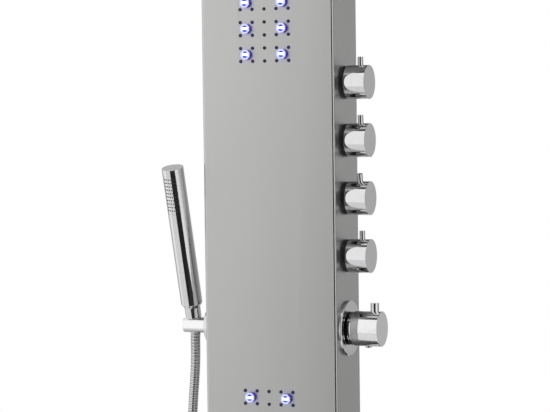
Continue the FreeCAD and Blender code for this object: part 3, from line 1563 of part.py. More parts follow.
doc.recompute()
for thing in doc.Objects:
    if "Invalid" in thing.State or "Error" in thing.State:
        raise ValueError(f"{thing.Label} is {thing.State}")
os.makedirs("parts", exist_ok=True)
for node in nodes:
    if node.Shape.isNull() or not node.Shape.isValid() or node.Shape.Volume <= 0:
        raise ValueError(f"{node.Label} has no valid shape")
for node in nodes:
    node.Shape.exportStep(f"parts/{node.Label}.step")
print(f"{len(nodes)} nodes, {sum(len(n.Shape.Solids) for n in nodes)} solids")
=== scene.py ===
"""Wall shower column: surfaces, finishes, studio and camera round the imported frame.

Lengths are written in millimetres and multiplied by MM. +Z is up, the front faces -Y,
and the origin is the middle of the upper wall holes.
"""

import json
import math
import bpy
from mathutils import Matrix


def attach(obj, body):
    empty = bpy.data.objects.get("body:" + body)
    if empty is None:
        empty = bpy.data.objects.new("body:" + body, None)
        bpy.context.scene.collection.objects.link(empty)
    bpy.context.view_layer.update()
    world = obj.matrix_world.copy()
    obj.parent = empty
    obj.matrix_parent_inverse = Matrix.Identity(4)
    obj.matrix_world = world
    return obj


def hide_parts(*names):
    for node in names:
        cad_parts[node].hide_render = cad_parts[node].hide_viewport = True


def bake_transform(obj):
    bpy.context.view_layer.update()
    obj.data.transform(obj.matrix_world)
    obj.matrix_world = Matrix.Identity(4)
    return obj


bl_info = {
    "name": "Shower Column",
    "version": (1, 0, 0),
    "blender": (4, 5, 0),
    "location": "3D View > Sidebar > Shower",
    "description": "Builds the finished surfaces of a wall shower column round its frame",
    "category": "Add Mesh",
}

import bmesh
import bpy
import numpy as np
from mathutils import Matrix

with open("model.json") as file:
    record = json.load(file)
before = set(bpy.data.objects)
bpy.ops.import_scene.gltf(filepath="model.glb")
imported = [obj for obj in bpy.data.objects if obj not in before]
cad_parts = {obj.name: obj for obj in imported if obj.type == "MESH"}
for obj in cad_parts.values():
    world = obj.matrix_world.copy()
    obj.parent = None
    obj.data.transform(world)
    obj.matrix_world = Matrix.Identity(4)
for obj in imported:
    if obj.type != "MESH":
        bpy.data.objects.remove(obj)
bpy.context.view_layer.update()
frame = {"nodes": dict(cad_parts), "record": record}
BODY_OF = {node: body for body, nodes in frame["record"]["behaviour"]["bodies"].items() for node in nodes}
SLOT_OF = {part["node"]: part["material_slot"] for part in frame["record"]["subparts"]}
MM = 0.001

# ---------------------------------------------------------------- sizes and colours a user may change


class HoseSizes(bpy.types.PropertyGroup):
    diameter: bpy.props.FloatProperty(
        name="Diameter", description="Outer diameter of the hose", default=14 * MM, unit="LENGTH"
    )
    pitch: bpy.props.FloatProperty(
        name="Rib pitch", description="From one steel rib to the next", default=2.55 * MM, unit="LENGTH"
    )
    groove: bpy.props.FloatProperty(
        name="Groove", description="Depth of the groove between ribs", default=0.5 * MM, unit="LENGTH"
    )


class JetSizes(bpy.types.PropertyGroup):
    scallops: bpy.props.IntProperty(
        name="Scallops", description="Finger scallops round a jet's ring", default=8
    )
    scallop_depth: bpy.props.FloatProperty(
        name="Scallop depth", description="Depth of a scallop in the ring", default=0.7 * MM, unit="LENGTH"
    )
    glow: bpy.props.FloatVectorProperty(
        name="Glow",
        description="Colour of the jets' light on the steel",
        default=(0.16, 0.14, 0.8),
        subtype="COLOR",
    )


class MetalColours(bpy.types.PropertyGroup):
    steel: bpy.props.FloatVectorProperty(
        name="Steel", description="Brushed steel of the column", default=(0.56, 0.558, 0.552), subtype="COLOR"
    )
    chrome: bpy.props.FloatVectorProperty(
        name="Chrome",
        description="Polished chrome of knobs and hand shower",
        default=(0.77, 0.77, 0.78),
        subtype="COLOR",
    )


# ---------------------------------------------------------------- shader nodes


class Value:
    """A node's output that takes part in Python arithmetic; each sign adds a Math node."""

    def __init__(self, nodes, socket):
        self.nodes = nodes
        self.socket = socket

    def maths(self, operation, *values, clamp=False):
        inputs = dict(enumerate(values))
        return self.nodes.node("Math", {"operation": operation, "use_clamp": clamp}, inputs)

    def __add__(self, other):
        return self.maths("ADD", self, other)

    def __sub__(self, other):
        return self.maths("SUBTRACT", self, other)

    def __rsub__(self, other):
        return self.maths("SUBTRACT", other, self)

    def __mul__(self, other):
        return self.maths("MULTIPLY", self, other)

    def __truediv__(self, other):
        return self.maths("DIVIDE", self, other)

    def __pow__(self, other):
        return self.maths("POWER", self, other)

    def __gt__(self, other):
        return self.maths("GREATER_THAN", self, other)

    def __lt__(self, other):
        return self.maths("LESS_THAN", self, other)

    def __abs__(self):
        return self.maths("ABSOLUTE", self)

    def clamped(self):
        return self.maths("ADD", self, 0.0, clamp=True)

    def exp(self):
        return self.maths("EXPONENT", self)

    def largest(self, other):
        return self.maths("MAXIMUM", self, other)

    def smallest(self, other):
        return self.maths("MINIMUM", self, other)

    def pingpong(self, scale):
        """Rises to scale and falls to 0 again and again."""
        return self.maths("PINGPONG", self, scale)

    def arctan2(self, other):
        return self.maths("ARCTAN2", self, other)

    def step(self, low, high):
        """0 below low, 1 above high and an even S between them."""
        limits = {"Value": self, "From Min": low, "From Max": high}
        return self.nodes.node("MapRange", {"interpolation_type": "SMOOTHSTEP"}, limits)

    def band(self, middle, half, soft):
        """1 within half of middle, falling to 0 over soft."""
        return 1 - abs(self - middle).step(half, half + soft)

    def xyz(self):
        return [self.nodes.node("SeparateXYZ", inputs={"Vector": self}, output=i) for i in range(3)]

    __radd__ = __add__
    __rmul__ = __mul__


class Nodes:
    """The node tree of a material or of the world."""

    def __init__(self, owner):
        owner.use_nodes = True
        self.owner = owner
        self.tree = owner.node_tree
        self.tree.nodes.clear()

    def node(self, kind, settings=None, inputs=None, output=0):
        """A new node: its settings first, then its sockets, each a plain value or a Value to link."""
        made = self.tree.nodes.new("ShaderNode" + kind)
        for name, value in (settings or {}).items():
            setattr(made, name, value)
        for key, value in (inputs or {}).items():
            socket = made.inputs[key]
            if isinstance(value, Value):
                self.tree.links.new(value.socket, socket)
            else:
                socket.default_value = value
        return Value(self, made.outputs[output])

    def places(self):
        """Object coordinates, which are the frame's metres on every piece here."""
        return self.node("TexCoord", output="Object")

    def noise(self, stretch, scale, detail=2.0):
        """Noise between 0 and 1, stretched by a factor along each axis."""
        at = self.node("Mapping", {"vector_type": "POINT"}, {"Vector": self.places(), "Scale": stretch})
        return self.node("TexNoise", inputs={"Vector": at, "Scale": scale, "Detail": detail})

    def mix(self, factor, first, second):
        """A colour between two colours."""
        return self.node("Mix", {"data_type": "RGBA"}, {"Factor": factor, 6: first, 7: second}, output=2)

    def bump(self, height, depth):
        return self.node("Bump", inputs={"Height": height, "Distance": depth, "Strength": 1.0})

    def surface(self, **inputs):
        """The finish itself; keyword names are the sockets' with _ for a space."""
        named = {name.replace("_", " "): value for name, value in inputs.items()}
        shader = self.node("BsdfPrincipled", inputs=named)
        return self.node_output("Material", shader)

    def node_output(self, kind, shader):
        made = self.tree.nodes.new("ShaderNodeOutput" + kind)
        self.tree.links.new(shader.socket, made.inputs["Surface"])
        return self.owner


def rgba(colour, factor=1.0):
    """Four numbers for a colour socket."""
    return (*(channel * factor for channel in colour[:3]), 1.0)


def material(name):
    return Nodes(bpy.data.materials.new(name))


# ---------------------------------------------------------------- finishes

JET_X = (-30.1, 23.9)
JET_Z = (-476.0, -512.0, -548.0, -1026.8)
TIP_X, TIP_PITCH = -3.1, 18.0
UPPER_TIP_Z, LOWER_TIP_Z = -467.0, -1017.8
PANEL_FRONT = -90.0
BEND_START = 95.4


def jet_glow(m, reach, outside=1.2):
    """How strongly the jets light a point of the front: the sum of one Gaussian round each jet."""
    x, y, z = m.places().xyz()
    near_column = [(x - jx * MM) ** 2 for jx in JET_X]
    total = 0.0
    for jz in JET_Z:
        below = (z - jz * MM) ** 2
        for across in near_column:
            total = ((across + below) * (-1 / (reach * MM) ** 2)).exp() + total
    return total * (y < (PANEL_FRONT + outside) * MM)


def brushed_steel(name, colour):
    """Steel brushed along the column, cloudy, slightly darker to the foot by painted shade, with the jets'
    blue light painted on it.

    The bend at the front's edges is smoother than the flat sheet.
    """
    m = material(name)
    scratches = m.noise((1.0, 1.0, 0.02), 1400.0, 2.0)
    clouds = m.noise((1.0, 1.0, 0.35), 7.0, 2.0)
    x, y, z = m.places().xyz()
    # painted shade: the z step darkens the steel towards the foot; scratches and clouds are its own grain
    tone = (scratches - 0.5) * 0.12 + (clouds - 0.5) * 0.1 + z.step(-1.3, -0.3) * 0.6 + 0.2
    base = m.mix(tone.clamped(), rgba(colour, 0.86), rgba(colour, 1.14))
    bend = (abs(x) > BEND_START * MM) * (y < (PANEL_FRONT + 3.6) * MM)
    glow = bpy.context.scene.shower_jets.glow
    # painted light: the jets' blue glow is painted into the steel's colour and emission near each jet
    near = jet_glow(m, 8.6).clamped()
    return m.surface(
        Base_Color=m.mix(near * 0.4, base, rgba((0.4, 0.39, 0.8))),
        Metallic=1.0,
        Roughness=(clouds - 0.5) * 0.06 + 0.36 - bend * 0.24,
        Emission_Color=m.mix(near, rgba((0, 0, 0)), rgba(glow, 0.16)),
        Emission_Strength=1.0,
        Normal=m.bump(scratches, 0.004 * MM),
    )


def chrome(name, colour, rough=0.02):
    """Polished chrome: faint water marks in its gloss and a slight waviness."""
    m = material(name)
    marks = m.noise((1.0, 1.0, 1.0), 160.0, 3.0)
    waves = m.noise((1.0, 1.0, 1.0), 28.0, 1.0)
    base = m.mix(marks.step(0.35, 0.8), rgba(colour), rgba(colour, 0.95))
    return m.surface(
        Base_Color=base,
        Metallic=1.0,
        Roughness=marks.step(0.55, 0.85) * 0.03 + rough,
        Normal=m.bump(waves, 0.006 * MM),
    )


def interlocked_steel(name):
    """The hose's steel band: painted shade darkens it in the grooves and it is bright on the ribs, by the
    piece's rib attribute.
    """
    m = material(name)
    rib = m.node("Attribute", {"attribute_name": "rib"}, output="Fac")
    wear = m.noise((1.0, 1.0, 1.0), 300.0, 2.0)
    # painted shade: dark base colour in the grooves, bright on the ribs
    base = m.mix(rib.step(0.0, 0.85), rgba((0.1, 0.1, 0.1)), rgba((0.82, 0.82, 0.82)))
    return m.surface(
        Base_Color=base,
        Metallic=1.0,
        Roughness=wear * 0.08 + 0.05,
        Normal=m.bump(wear, 0.005 * MM),
    )


def moulded(name, colour, rough=0.45, grain=0.05, speck=900.0):
    """Moulded plastic: a fine even grain and slight changes of tone."""
    m = material(name)
    fine = m.noise((1.0, 1.0, 1.0), speck, 2.0)
    broad = m.noise((1.0, 1.0, 1.0), 30.0, 2.0)
    return m.surface(
        Base_Color=m.mix(broad, rgba(colour, 0.9), rgba(colour, 1.1)),
        Roughness=(broad - 0.5) * 0.12 + rough,
        Normal=m.bump(fine, grain * MM),
    )


def cast_brass(name):
    """Sand-cast brass: granular bump and warm mottling."""
    m = material(name)
    grain = m.noise((1.0, 1.0, 1.0), 700.0, 3.0)
    stain = m.noise((1.0, 1.0, 1.0), 45.0, 3.0)
    return m.surface(
        Base_Color=m.mix(stain, rgba((0.58, 0.42, 0.2)), rgba((0.78, 0.62, 0.34))),
        Metallic=1.0,
        Roughness=stain * 0.2 + 0.26,
        Normal=m.bump(grain, 0.06 * MM),
    )


def zinc_plate(name):
    """Zinc-plated sheet: a bluish passivated bloom in patches."""
    m = material(name)
    patches = m.noise((1.0, 1.0, 1.0), 60.0, 4.0)
    return m.surface(
        Base_Color=m.mix(patches, rgba((0.52, 0.55, 0.58)), rgba((0.72, 0.72, 0.7))),
        Metallic=1.0,
        Roughness=patches * 0.15 + 0.32,
        Normal=m.bump(patches, 0.02 * MM),
    )


def nozzle_silicone(name, row_z):
    """Black silicone with a paler water hole at each tip: a square grid with one of its rows at row_z. The
    jets' blue light is painted on it as a glow.
    """
    m = material(name)
    x, _, z = m.places().xyz()
    across = ((x - TIP_X * MM) / (TIP_PITCH * MM)).pingpong(0.5)
    along = ((z - row_z * MM) / (TIP_PITCH * MM)).pingpong(0.5)
    hole = 1 - (across**2 + along**2).step((0.3 / TIP_PITCH) ** 2, (0.7 / TIP_PITCH) ** 2)
    skin = m.noise((1.0, 1.0, 1.0), 800.0, 2.0)
    # painted light: blue glow of the nearby jets
    lit = jet_glow(m, 17.0, outside=0.0).clamped()
    return m.surface(
        Base_Color=m.mix(hole, rgba((0.008, 0.007, 0.01)), rgba((0.07, 0.065, 0.08))),
        Roughness=skin * 0.2 + 0.45,
        Emission_Color=m.mix(lit, rgba((0, 0, 0)), rgba((0.012, 0.008, 0.075))),
        Emission_Strength=1.0,
        Normal=m.bump(skin, 0.03 * MM),
    )


def ring_clear(name):
    """The jets' translucent rings: a painted glow makes the rim pale as if lit from behind, and painted shade
    darkens it to violet down its side.
    """
    m = material(name)
    _, y, _ = m.places().xyz()
    # painted light and shade: the front rim is painted pale and glowing, the side dark violet
    face = 1 - y.step((PANEL_FRONT - 6.0) * MM, (PANEL_FRONT - 4.2) * MM)
    cloud = m.noise((1.0, 1.0, 1.0), 500.0, 2.0)
    lit = m.mix(face, rgba((0.016, 0.008, 0.1)), rgba((0.24, 0.24, 0.42)))
    return m.surface(
        Base_Color=m.mix(face, rgba((0.06, 0.045, 0.26)), rgba((0.56, 0.57, 0.82))),
        Roughness=cloud * 0.15 + 0.18,
        Emission_Color=lit,
        Emission_Strength=1.0,
        Normal=m.bump(cloud, 0.02 * MM),
    )


def lens_glow(name, height):
    """A jet's ball: a painted white-cyan gleam across its middle and a painted blue glow above and below, at
    the jet's height.

    The gleam is brightest where |up - 0.3| = 0.07 d^2, up mm above the jet's axis and d mm beside it.
    """
    m = material(name)
    x, y, z = m.places().xyz()
    sway = m.noise((1.0, 1.0, 1.0), 120.0, 1.0)
    off = (z - height * MM) / MM + (sway - 0.5) * 1.6
    beside = abs(x - JET_X[1] * MM).smallest(abs(x - JET_X[0] * MM)) / MM
    # painted highlight: the gleam band is painted into colour and emission
    gleam = (abs(off - 0.3) - beside * beside * 0.07).band(0.0, 0.9, 1.3)
    front = 1 - y.step((PANEL_FRONT - 6.0) * MM, (PANEL_FRONT - 2.5) * MM)
    dim = m.mix(off.step(-3.0, 3.0), rgba((0.035, 0.08, 0.36)), rgba((0.012, 0.02, 0.16)))
    lit = m.mix(gleam * front, dim, rgba((0.78, 0.94, 1.0)))
    return m.surface(
        Base_Color=m.mix(gleam, rgba((0.03, 0.05, 0.2)), rgba((0.8, 0.9, 1.0))),
        Roughness=sway * 0.1 + 0.08,
        Emission_Color=lit,
        Emission_Strength=1.0,
    )


def all_finishes():
    """Every finish, by the record's slot."""
    scene = bpy.context.scene
    steel, bright = scene.shower_metals.steel, scene.shower_metals.chrome
    return {
        "brushed_steel_sheet": brushed_steel("brushed steel", steel),
        "zinc_plated_steel": zinc_plate("zinc plate"),
        "bright_chrome": chrome("bright chrome", bright),
        "hose_steel": interlocked_steel("interlocked steel"),
        "cast_brass": cast_brass("cast brass"),
        "grey_polymer": moulded("grey polymer", (0.3, 0.31, 0.32)),
        "black_polymer": moulded("black polymer", (0.012, 0.012, 0.014), 0.35),
        "white_pipe": moulded("white pipe", (0.72, 0.72, 0.69), 0.4, 0.02, 300.0),
        "black_silicone": nozzle_silicone("black silicone", UPPER_TIP_Z),
        "frosted_clear": ring_clear("frosted clear"),
        "clear_lens": lens_glow("clear lens", JET_Z[0]),
        "light_board": moulded("light board", (0.05, 0.1, 0.5), 0.3),
        "grey_spray_plate": chrome("spray plate chrome", bright, 0.07),
        "spring_steel": chrome("spring steel", (0.5, 0.5, 0.5), 0.2),
    }


FINISHES = {}

# ---------------------------------------------------------------- surfaces


def new_piece(name, body, points, faces, finish, stands_for=(), slot=None, smooth=40.0):
    """A mesh from whole arrays, its doubles merged, riding on a body of the frame where one is given."""
    mesh = bpy.data.meshes.new(name)
    mesh.from_pydata(np.asarray(points, float).reshape(-1, 3).tolist(), [], np.asarray(faces).tolist())
    return finish_piece(mesh, name, body, finish, stands_for, smooth, 0.0)


def finish_piece(mesh, name, body, finish, stands_for, smooth, bevel):
    """Merges doubles, turns faces outwards, smooths below an angle and, given a body, rides on it."""
    work = bmesh.new()
    work.from_mesh(mesh)
    bmesh.ops.remove_doubles(work, verts=work.verts, dist=0.002 * MM)
    bmesh.ops.recalc_face_normals(work, faces=work.faces)
    work.to_mesh(mesh)
    work.free()
    mesh.shade_smooth()
    mesh.set_sharp_from_angle(angle=math.radians(smooth))
    piece = bpy.data.objects.new(name, mesh)
    bpy.context.scene.collection.objects.link(piece)
    mesh.materials.clear()
    mesh.materials.append(finish)
    if bevel:
        rounding = piece.modifiers.new("edges", "BEVEL")
        rounding.width = bevel * MM
        rounding.segments = 2
        rounding.limit_method = "ANGLE"
        rounding.angle_limit = math.radians(smooth)
    weights = piece.modifiers.new("flat faces", "WEIGHTED_NORMAL")
    weights.keep_sharp = True
    if body:
        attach(piece, body)
    if stands_for:
        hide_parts(*stands_for)
    return piece


def dressed(node, bevel=0.0, finish=None, smooth=30.0):
    """A merged copy of one of the frame's nodes, its edges rounded by bevel, which stands for the node."""
    mesh = frame["nodes"][node].data.copy()
    finish = finish or FINISHES[SLOT_OF[node]]
    return finish_piece(mesh, node + "_finished", BODY_OF[node], finish, (node,), smooth, bevel)


def grid_faces(rows, columns, close_rows=False, close_columns=False):
    """Quads of a grid whose point (i, j) is number i * columns + j."""
    i = np.arange(rows if close_rows else rows - 1)[:, None]
    j = np.arange(columns if close_columns else columns - 1)[None, :]
    after_i, after_j = (i + 1) % rows, (j + 1) % columns
    corners = (i * columns + j, after_i * columns + j, after_i * columns + after_j, i * columns + after_j)
    return np.stack(np.broadcast_arrays(*corners), -1).reshape(-1, 4)


def rounded(corners, radius=0.6, steps=5):
    """A profile whose inner corners are replaced by parabolas.

    A corner p between neighbours a and b becomes (1-t)^2 (p+ua c) + 2t(1-t) p + t^2 (p+ub c), with ua and ub
    the unit vectors to the neighbours, and c the radius or 0.45 of the shorter side.
    """
    p = np.asarray(corners, float)
    before, corner, after = p[:-2], p[1:-1], p[2:]
    lengths = [np.linalg.norm(side, axis=1, keepdims=True) for side in (before - corner, after - corner)]
    cut = np.minimum(radius, 0.45 * np.minimum(*lengths))
    start = corner + (before - corner) / lengths[0] * cut
    end = corner + (after - corner) / lengths[1] * cut
    t = np.linspace(0, 1, steps)[None, :, None]
    arcs = (1 - t) ** 2 * start[:, None] + 2 * t * (1 - t) * corner[:, None] + t**2 * end[:, None]
    return np.vstack([p[:1], arcs.reshape(-1, 2), p[-1:]])


def revolved(profile, sides=96):
    """Points (r cos a, r sin a, h) for each profile point (h, r) and each of the angles a of a full turn."""
    h, r = np.asarray(profile, float).T
    a = np.linspace(0, 2 * np.pi, sides, endpoint=False)
    ring = np.stack([np.cos(a), np.sin(a)], -1)
    points = np.empty((len(h), sides, 3))
    points[..., :2] = r[:, None, None] * ring
    points[..., 2] = h[:, None]
    return points.reshape(-1, 3), grid_faces(len(h), sides, close_columns=True)


def joined(*surfaces):
    """Several (points, faces) as one."""
    points, faces, start = [], [], 0
    for some, quads in surfaces:
        points.append(np.asarray(some, float).reshape(-1, 3))
        faces.append(np.asarray(quads) + start)
        start += len(points[-1])
    return np.vstack(points), np.vstack(faces)


def placed(surface, origin, axes):
    """The surface in the frame: origin + x ax + y ay + z az, from millimetres to metres."""
    points, faces = surface
    return (points @ np.asarray(axes, float) + np.asarray(origin, float)) * MM, faces


ALONG_X = ((0, 1, 0), (0, 0, 1), (1, 0, 0))
UPRIGHT = ((1, 0, 0), (0, 1, 0), (0, 0, 1))
OUTWARDS = ((1, 0, 0), (0, 0, 1), (0, -1, 0))


def turned_about_x(axes, degrees):
    """Each axis turned about X by the right-hand rule."""
    c, s = math.cos(math.radians(degrees)), math.sin(math.radians(degrees))
    return np.asarray(axes, float) @ np.array(((1, 0, 0), (0, c, s), (0, -s, c)))


# ---------------------------------------------------------------- pieces

VALVE_Y = -45.0
SIDE = 99.0
BALL_RADIUS, BALL_FLAT = 5.0, 4.5
KNOB_Z = (-588.1, -668.5, -748.9, -829.3)
KNOB_REST = (0.0, 4.0, 13.0, 0.0)
MIXER_Z = -930.6
HOLDER = (-136.2, -45.0, -931.7)
LEAN = 16.5
TUBE_RADIUS, BORE_RADIUS, PLATE_RADIUS = 15.5, 14.0, 15.35
CAP_TOP = 237.5
WINDOW = (172.0, 229.0)
WINDOW_HALF = 9.5


def lever_knob(start, end, radius, pin_at, pin_radius, pin_top):
    """A cup of revolution along X and, standing on it, a round pin along Z; each profile is rounded."""
    cup = ((start, 0), (start, radius), (end, radius), (end, 0))
    stem = ((radius - 2, 0), (radius - 2, pin_radius), (pin_top, pin_radius), (pin_top, 0))
    knob = revolved(rounded(cup, 0.4), 128)
    pin = revolved(rounded(stem, 0.5), 48)
    along = (np.asarray(knob[0]) @ np.asarray(ALONG_X, float), knob[1])
    upright = (np.asarray(pin[0]) + (pin_at, 0, 0), pin[1])
    return joined(along, upright)


class SHOWER_OT_column(bpy.types.Operator):
    """Column, head and bottom cap as they are in the frame, and side screws with rounded edges."""

    bl_idname = "shower.column"
    bl_label = "Column and head"

    def execute(self, context):
        for node in ("column_shell", "bottom_cap", "head_shell", "head_plate"):
            dressed(node)
        dressed("side_screws", 0.25)
        return {"FINISHED"}


class SHOWER_OT_nozzles(bpy.types.Operator):
    """The silicone mats, whose tips stand out of the steel."""

    bl_idname = "shower.nozzles"
    bl_label = "Nozzle mats"

    def execute(self, context):
        dressed("upper_nozzle_mat", 0.35)
        lower = nozzle_silicone("black silicone low", LOWER_TIP_Z)
        dressed("lower_nozzle_mat", 0.35, lower)
        head = moulded("head silicone", (0.02, 0.02, 0.024), 0.5)
        dressed("head_nozzle_mat", 0.35, head)
        return {"FINISHED"}


class SHOWER_OT_jets(bpy.types.Operator):
    """Body jets: scalloped clear rings and lit ball lenses."""

    bl_idname = "shower.jets"
    bl_label = "Body jets"

    def execute(self, context):
        sizes = context.scene.shower_jets
        rings = []
        for z in JET_Z:
            for x in JET_X:
                rings.append(placed(self.ring(sizes), (x, PANEL_FRONT, z), OUTWARDS))
        points, faces = joined(*rings)
        new_piece("jet_rings_scalloped", "column", points, faces, FINISHES["frosted_clear"], ("jet_rings",))
        number = 0
        for z in JET_Z:
            glow = lens_glow(f"clear lens {abs(z):.0f}", z)
            for x in JET_X:
                number += 1
                node = f"jet_nozzle_{number}"
                lens = placed(self.lens(), (x, PANEL_FRONT - 2.9, z), OUTWARDS)
                new_piece(node + "_lens", BODY_OF[node], *lens, glow, (node,))
        return {"FINISHED"}

    @staticmethod
    def ring(sizes):
        """A ring of revolution; above its foot the outer wall dips by scallop_depth cos(a scallops / 2)^6."""
        outside = ((0, 5.75), (0, 7), (6.5, 7), (6.5, 4.5))
        inside = ((5.3, 4.5), (5.3, 5.15), (2.05, 5.15), (2.05, 5.75), (0, 5.75))
        points, faces = revolved(rounded((*outside, *inside), 0.45, 4), 96)
        h = points[:, 2]
        r = np.hypot(points[:, 0], points[:, 1])
        a = np.arctan2(points[:, 1], points[:, 0])
        outer = np.clip((r - 5.6) / 1.2, 0, 1)
        dip = np.cos(a * sizes.scallops / 2) ** 6 * sizes.scallop_depth / MM
        fade = np.clip((h - 1.0) / 1.0, 0, 1)
        shrink = 1 - dip * outer * fade / np.maximum(r, 1)
        points[:, :2] *= shrink[:, None]
        return points, faces

    @staticmethod
    def lens():
        """A ball cut flat at both ends, with a shallow dish and a water hole in its front."""
        cut = math.acos(BALL_FLAT / BALL_RADIUS)
        a = np.linspace(cut, math.pi - cut, 14)
        ball = np.stack([BALL_RADIUS * np.cos(a), BALL_RADIUS * np.sin(a)], -1)
        profile = np.vstack([(3.0, 0.0), (3.0, 1.2), (4.3, 1.3), (4.35, 1.6), ball, (-BALL_FLAT, 0.0)])
        return revolved(profile, 48)


class SHOWER_OT_knobs(bpy.types.Operator):
    """The four stop knobs with their lever pins, and the black rings between them and the column."""

    bl_idname = "shower.knobs"
    bl_label = "Stop knobs"

    def execute(self, context):
        for number, (z, rest) in enumerate(zip(KNOB_Z, KNOB_REST), 1):
            shape = lever_knob(
                start=SIDE + 5.3,
                end=SIDE + 35.9,
                radius=23.6,
                pin_at=SIDE + 22.9,
                pin_radius=4.0,
                pin_top=35.1,
            )
            body = BODY_OF[f"stop_knob_{number}"]
            points, faces = placed(shape, (0, VALVE_Y, z), turned_about_x(UPRIGHT, rest))
            nodes = (f"stop_knob_{number}",)
            new_piece(f"stop_knob_{number}_chrome", body, points, faces, FINISHES["bright_chrome"], nodes)
        dressed("stop_rings", 0.4)
        return {"FINISHED"}


class SHOWER_OT_mixer(bpy.types.Operator):
    """The thermostatic mixer outside the column: disc, collar, sleeve, knob and button."""

    bl_idname = "shower.mixer"
    bl_label = "Thermostatic mixer"

    def execute(self, context):
        # painted light: the mixer knob's chrome is made brighter than the other chrome
        bright = chrome("mixer chrome", (0.88, 0.88, 0.89), 0.1)
        # painted shade: the sleeve's chrome colour is made darker, besides its rougher satin finish
        satin = chrome("satin sleeve", (0.56, 0.55, 0.55), 0.34)
        finishes = {"mixer_collar": self.grooved("grooved collar"), "mixer_sleeve": satin}
        origin = (SIDE, VALVE_Y, MIXER_Z)
        waist_and_rim = ((4.5, 17.2), (4.5, 19.5), (6.5, 19.5), (6.5, 23.3), (8.1, 23.3))
        groove_and_rim = ((8.1, 22.1), (9.1, 22.1), (9.1, 23.3), (11.5, 23.3), (11.5, 17.2), (4.5, 17.2))
        turned = {
            "mixer_flange": (((0, 17.2), (0, 39), (3.1, 39), (4.5, 37.6), (4.5, 17.2), (0, 17.2)), 0.9),
            "mixer_collar": ((*waist_and_rim, *groove_and_rim), 0.3),
            "mixer_sleeve": (((11.5, 15.2), (11.5, 24.3), (22.5, 24.3), (22.5, 15.2), (11.5, 15.2)), 0.6),
        }
        for node, (corners, radius) in turned.items():
            shape = placed(revolved(rounded(corners, radius), 128), origin, ALONG_X)
            finish = finishes.get(node, FINISHES["bright_chrome"])
            new_piece(node + "_chrome", BODY_OF[node], *shape, finish, (node,))
        dressed("mixer_knob", 0.5, bright)
        dressed("override_button", 0.3)
        return {"FINISHED"}

    @staticmethod
    def grooved(name):
        """Chrome rims, and black matt bands of painted shade in the waist and in the groove, by distance
        along X.
        """
        m = material(name)
        x, _, _ = m.places().xyz()
        along = (x - SIDE * MM) / MM
        # painted shade: the deep waist and groove are made black and not metal
        rubber_and_painted_shade = (along < 6.9).largest(along.band(8.6, 0.6, 0.1))
        wear = m.noise((1.0, 1.0, 1.0), 300.0, 2.0)
        return m.surface(
            Base_Color=m.mix(rubber_and_painted_shade, rgba((0.7, 0.7, 0.71)), rgba((0.008, 0.008, 0.008))),
            Metallic=1 - rubber_and_painted_shade,
            Roughness=rubber_and_painted_shade * 0.4 + wear * 0.05 + 0.04,
        )


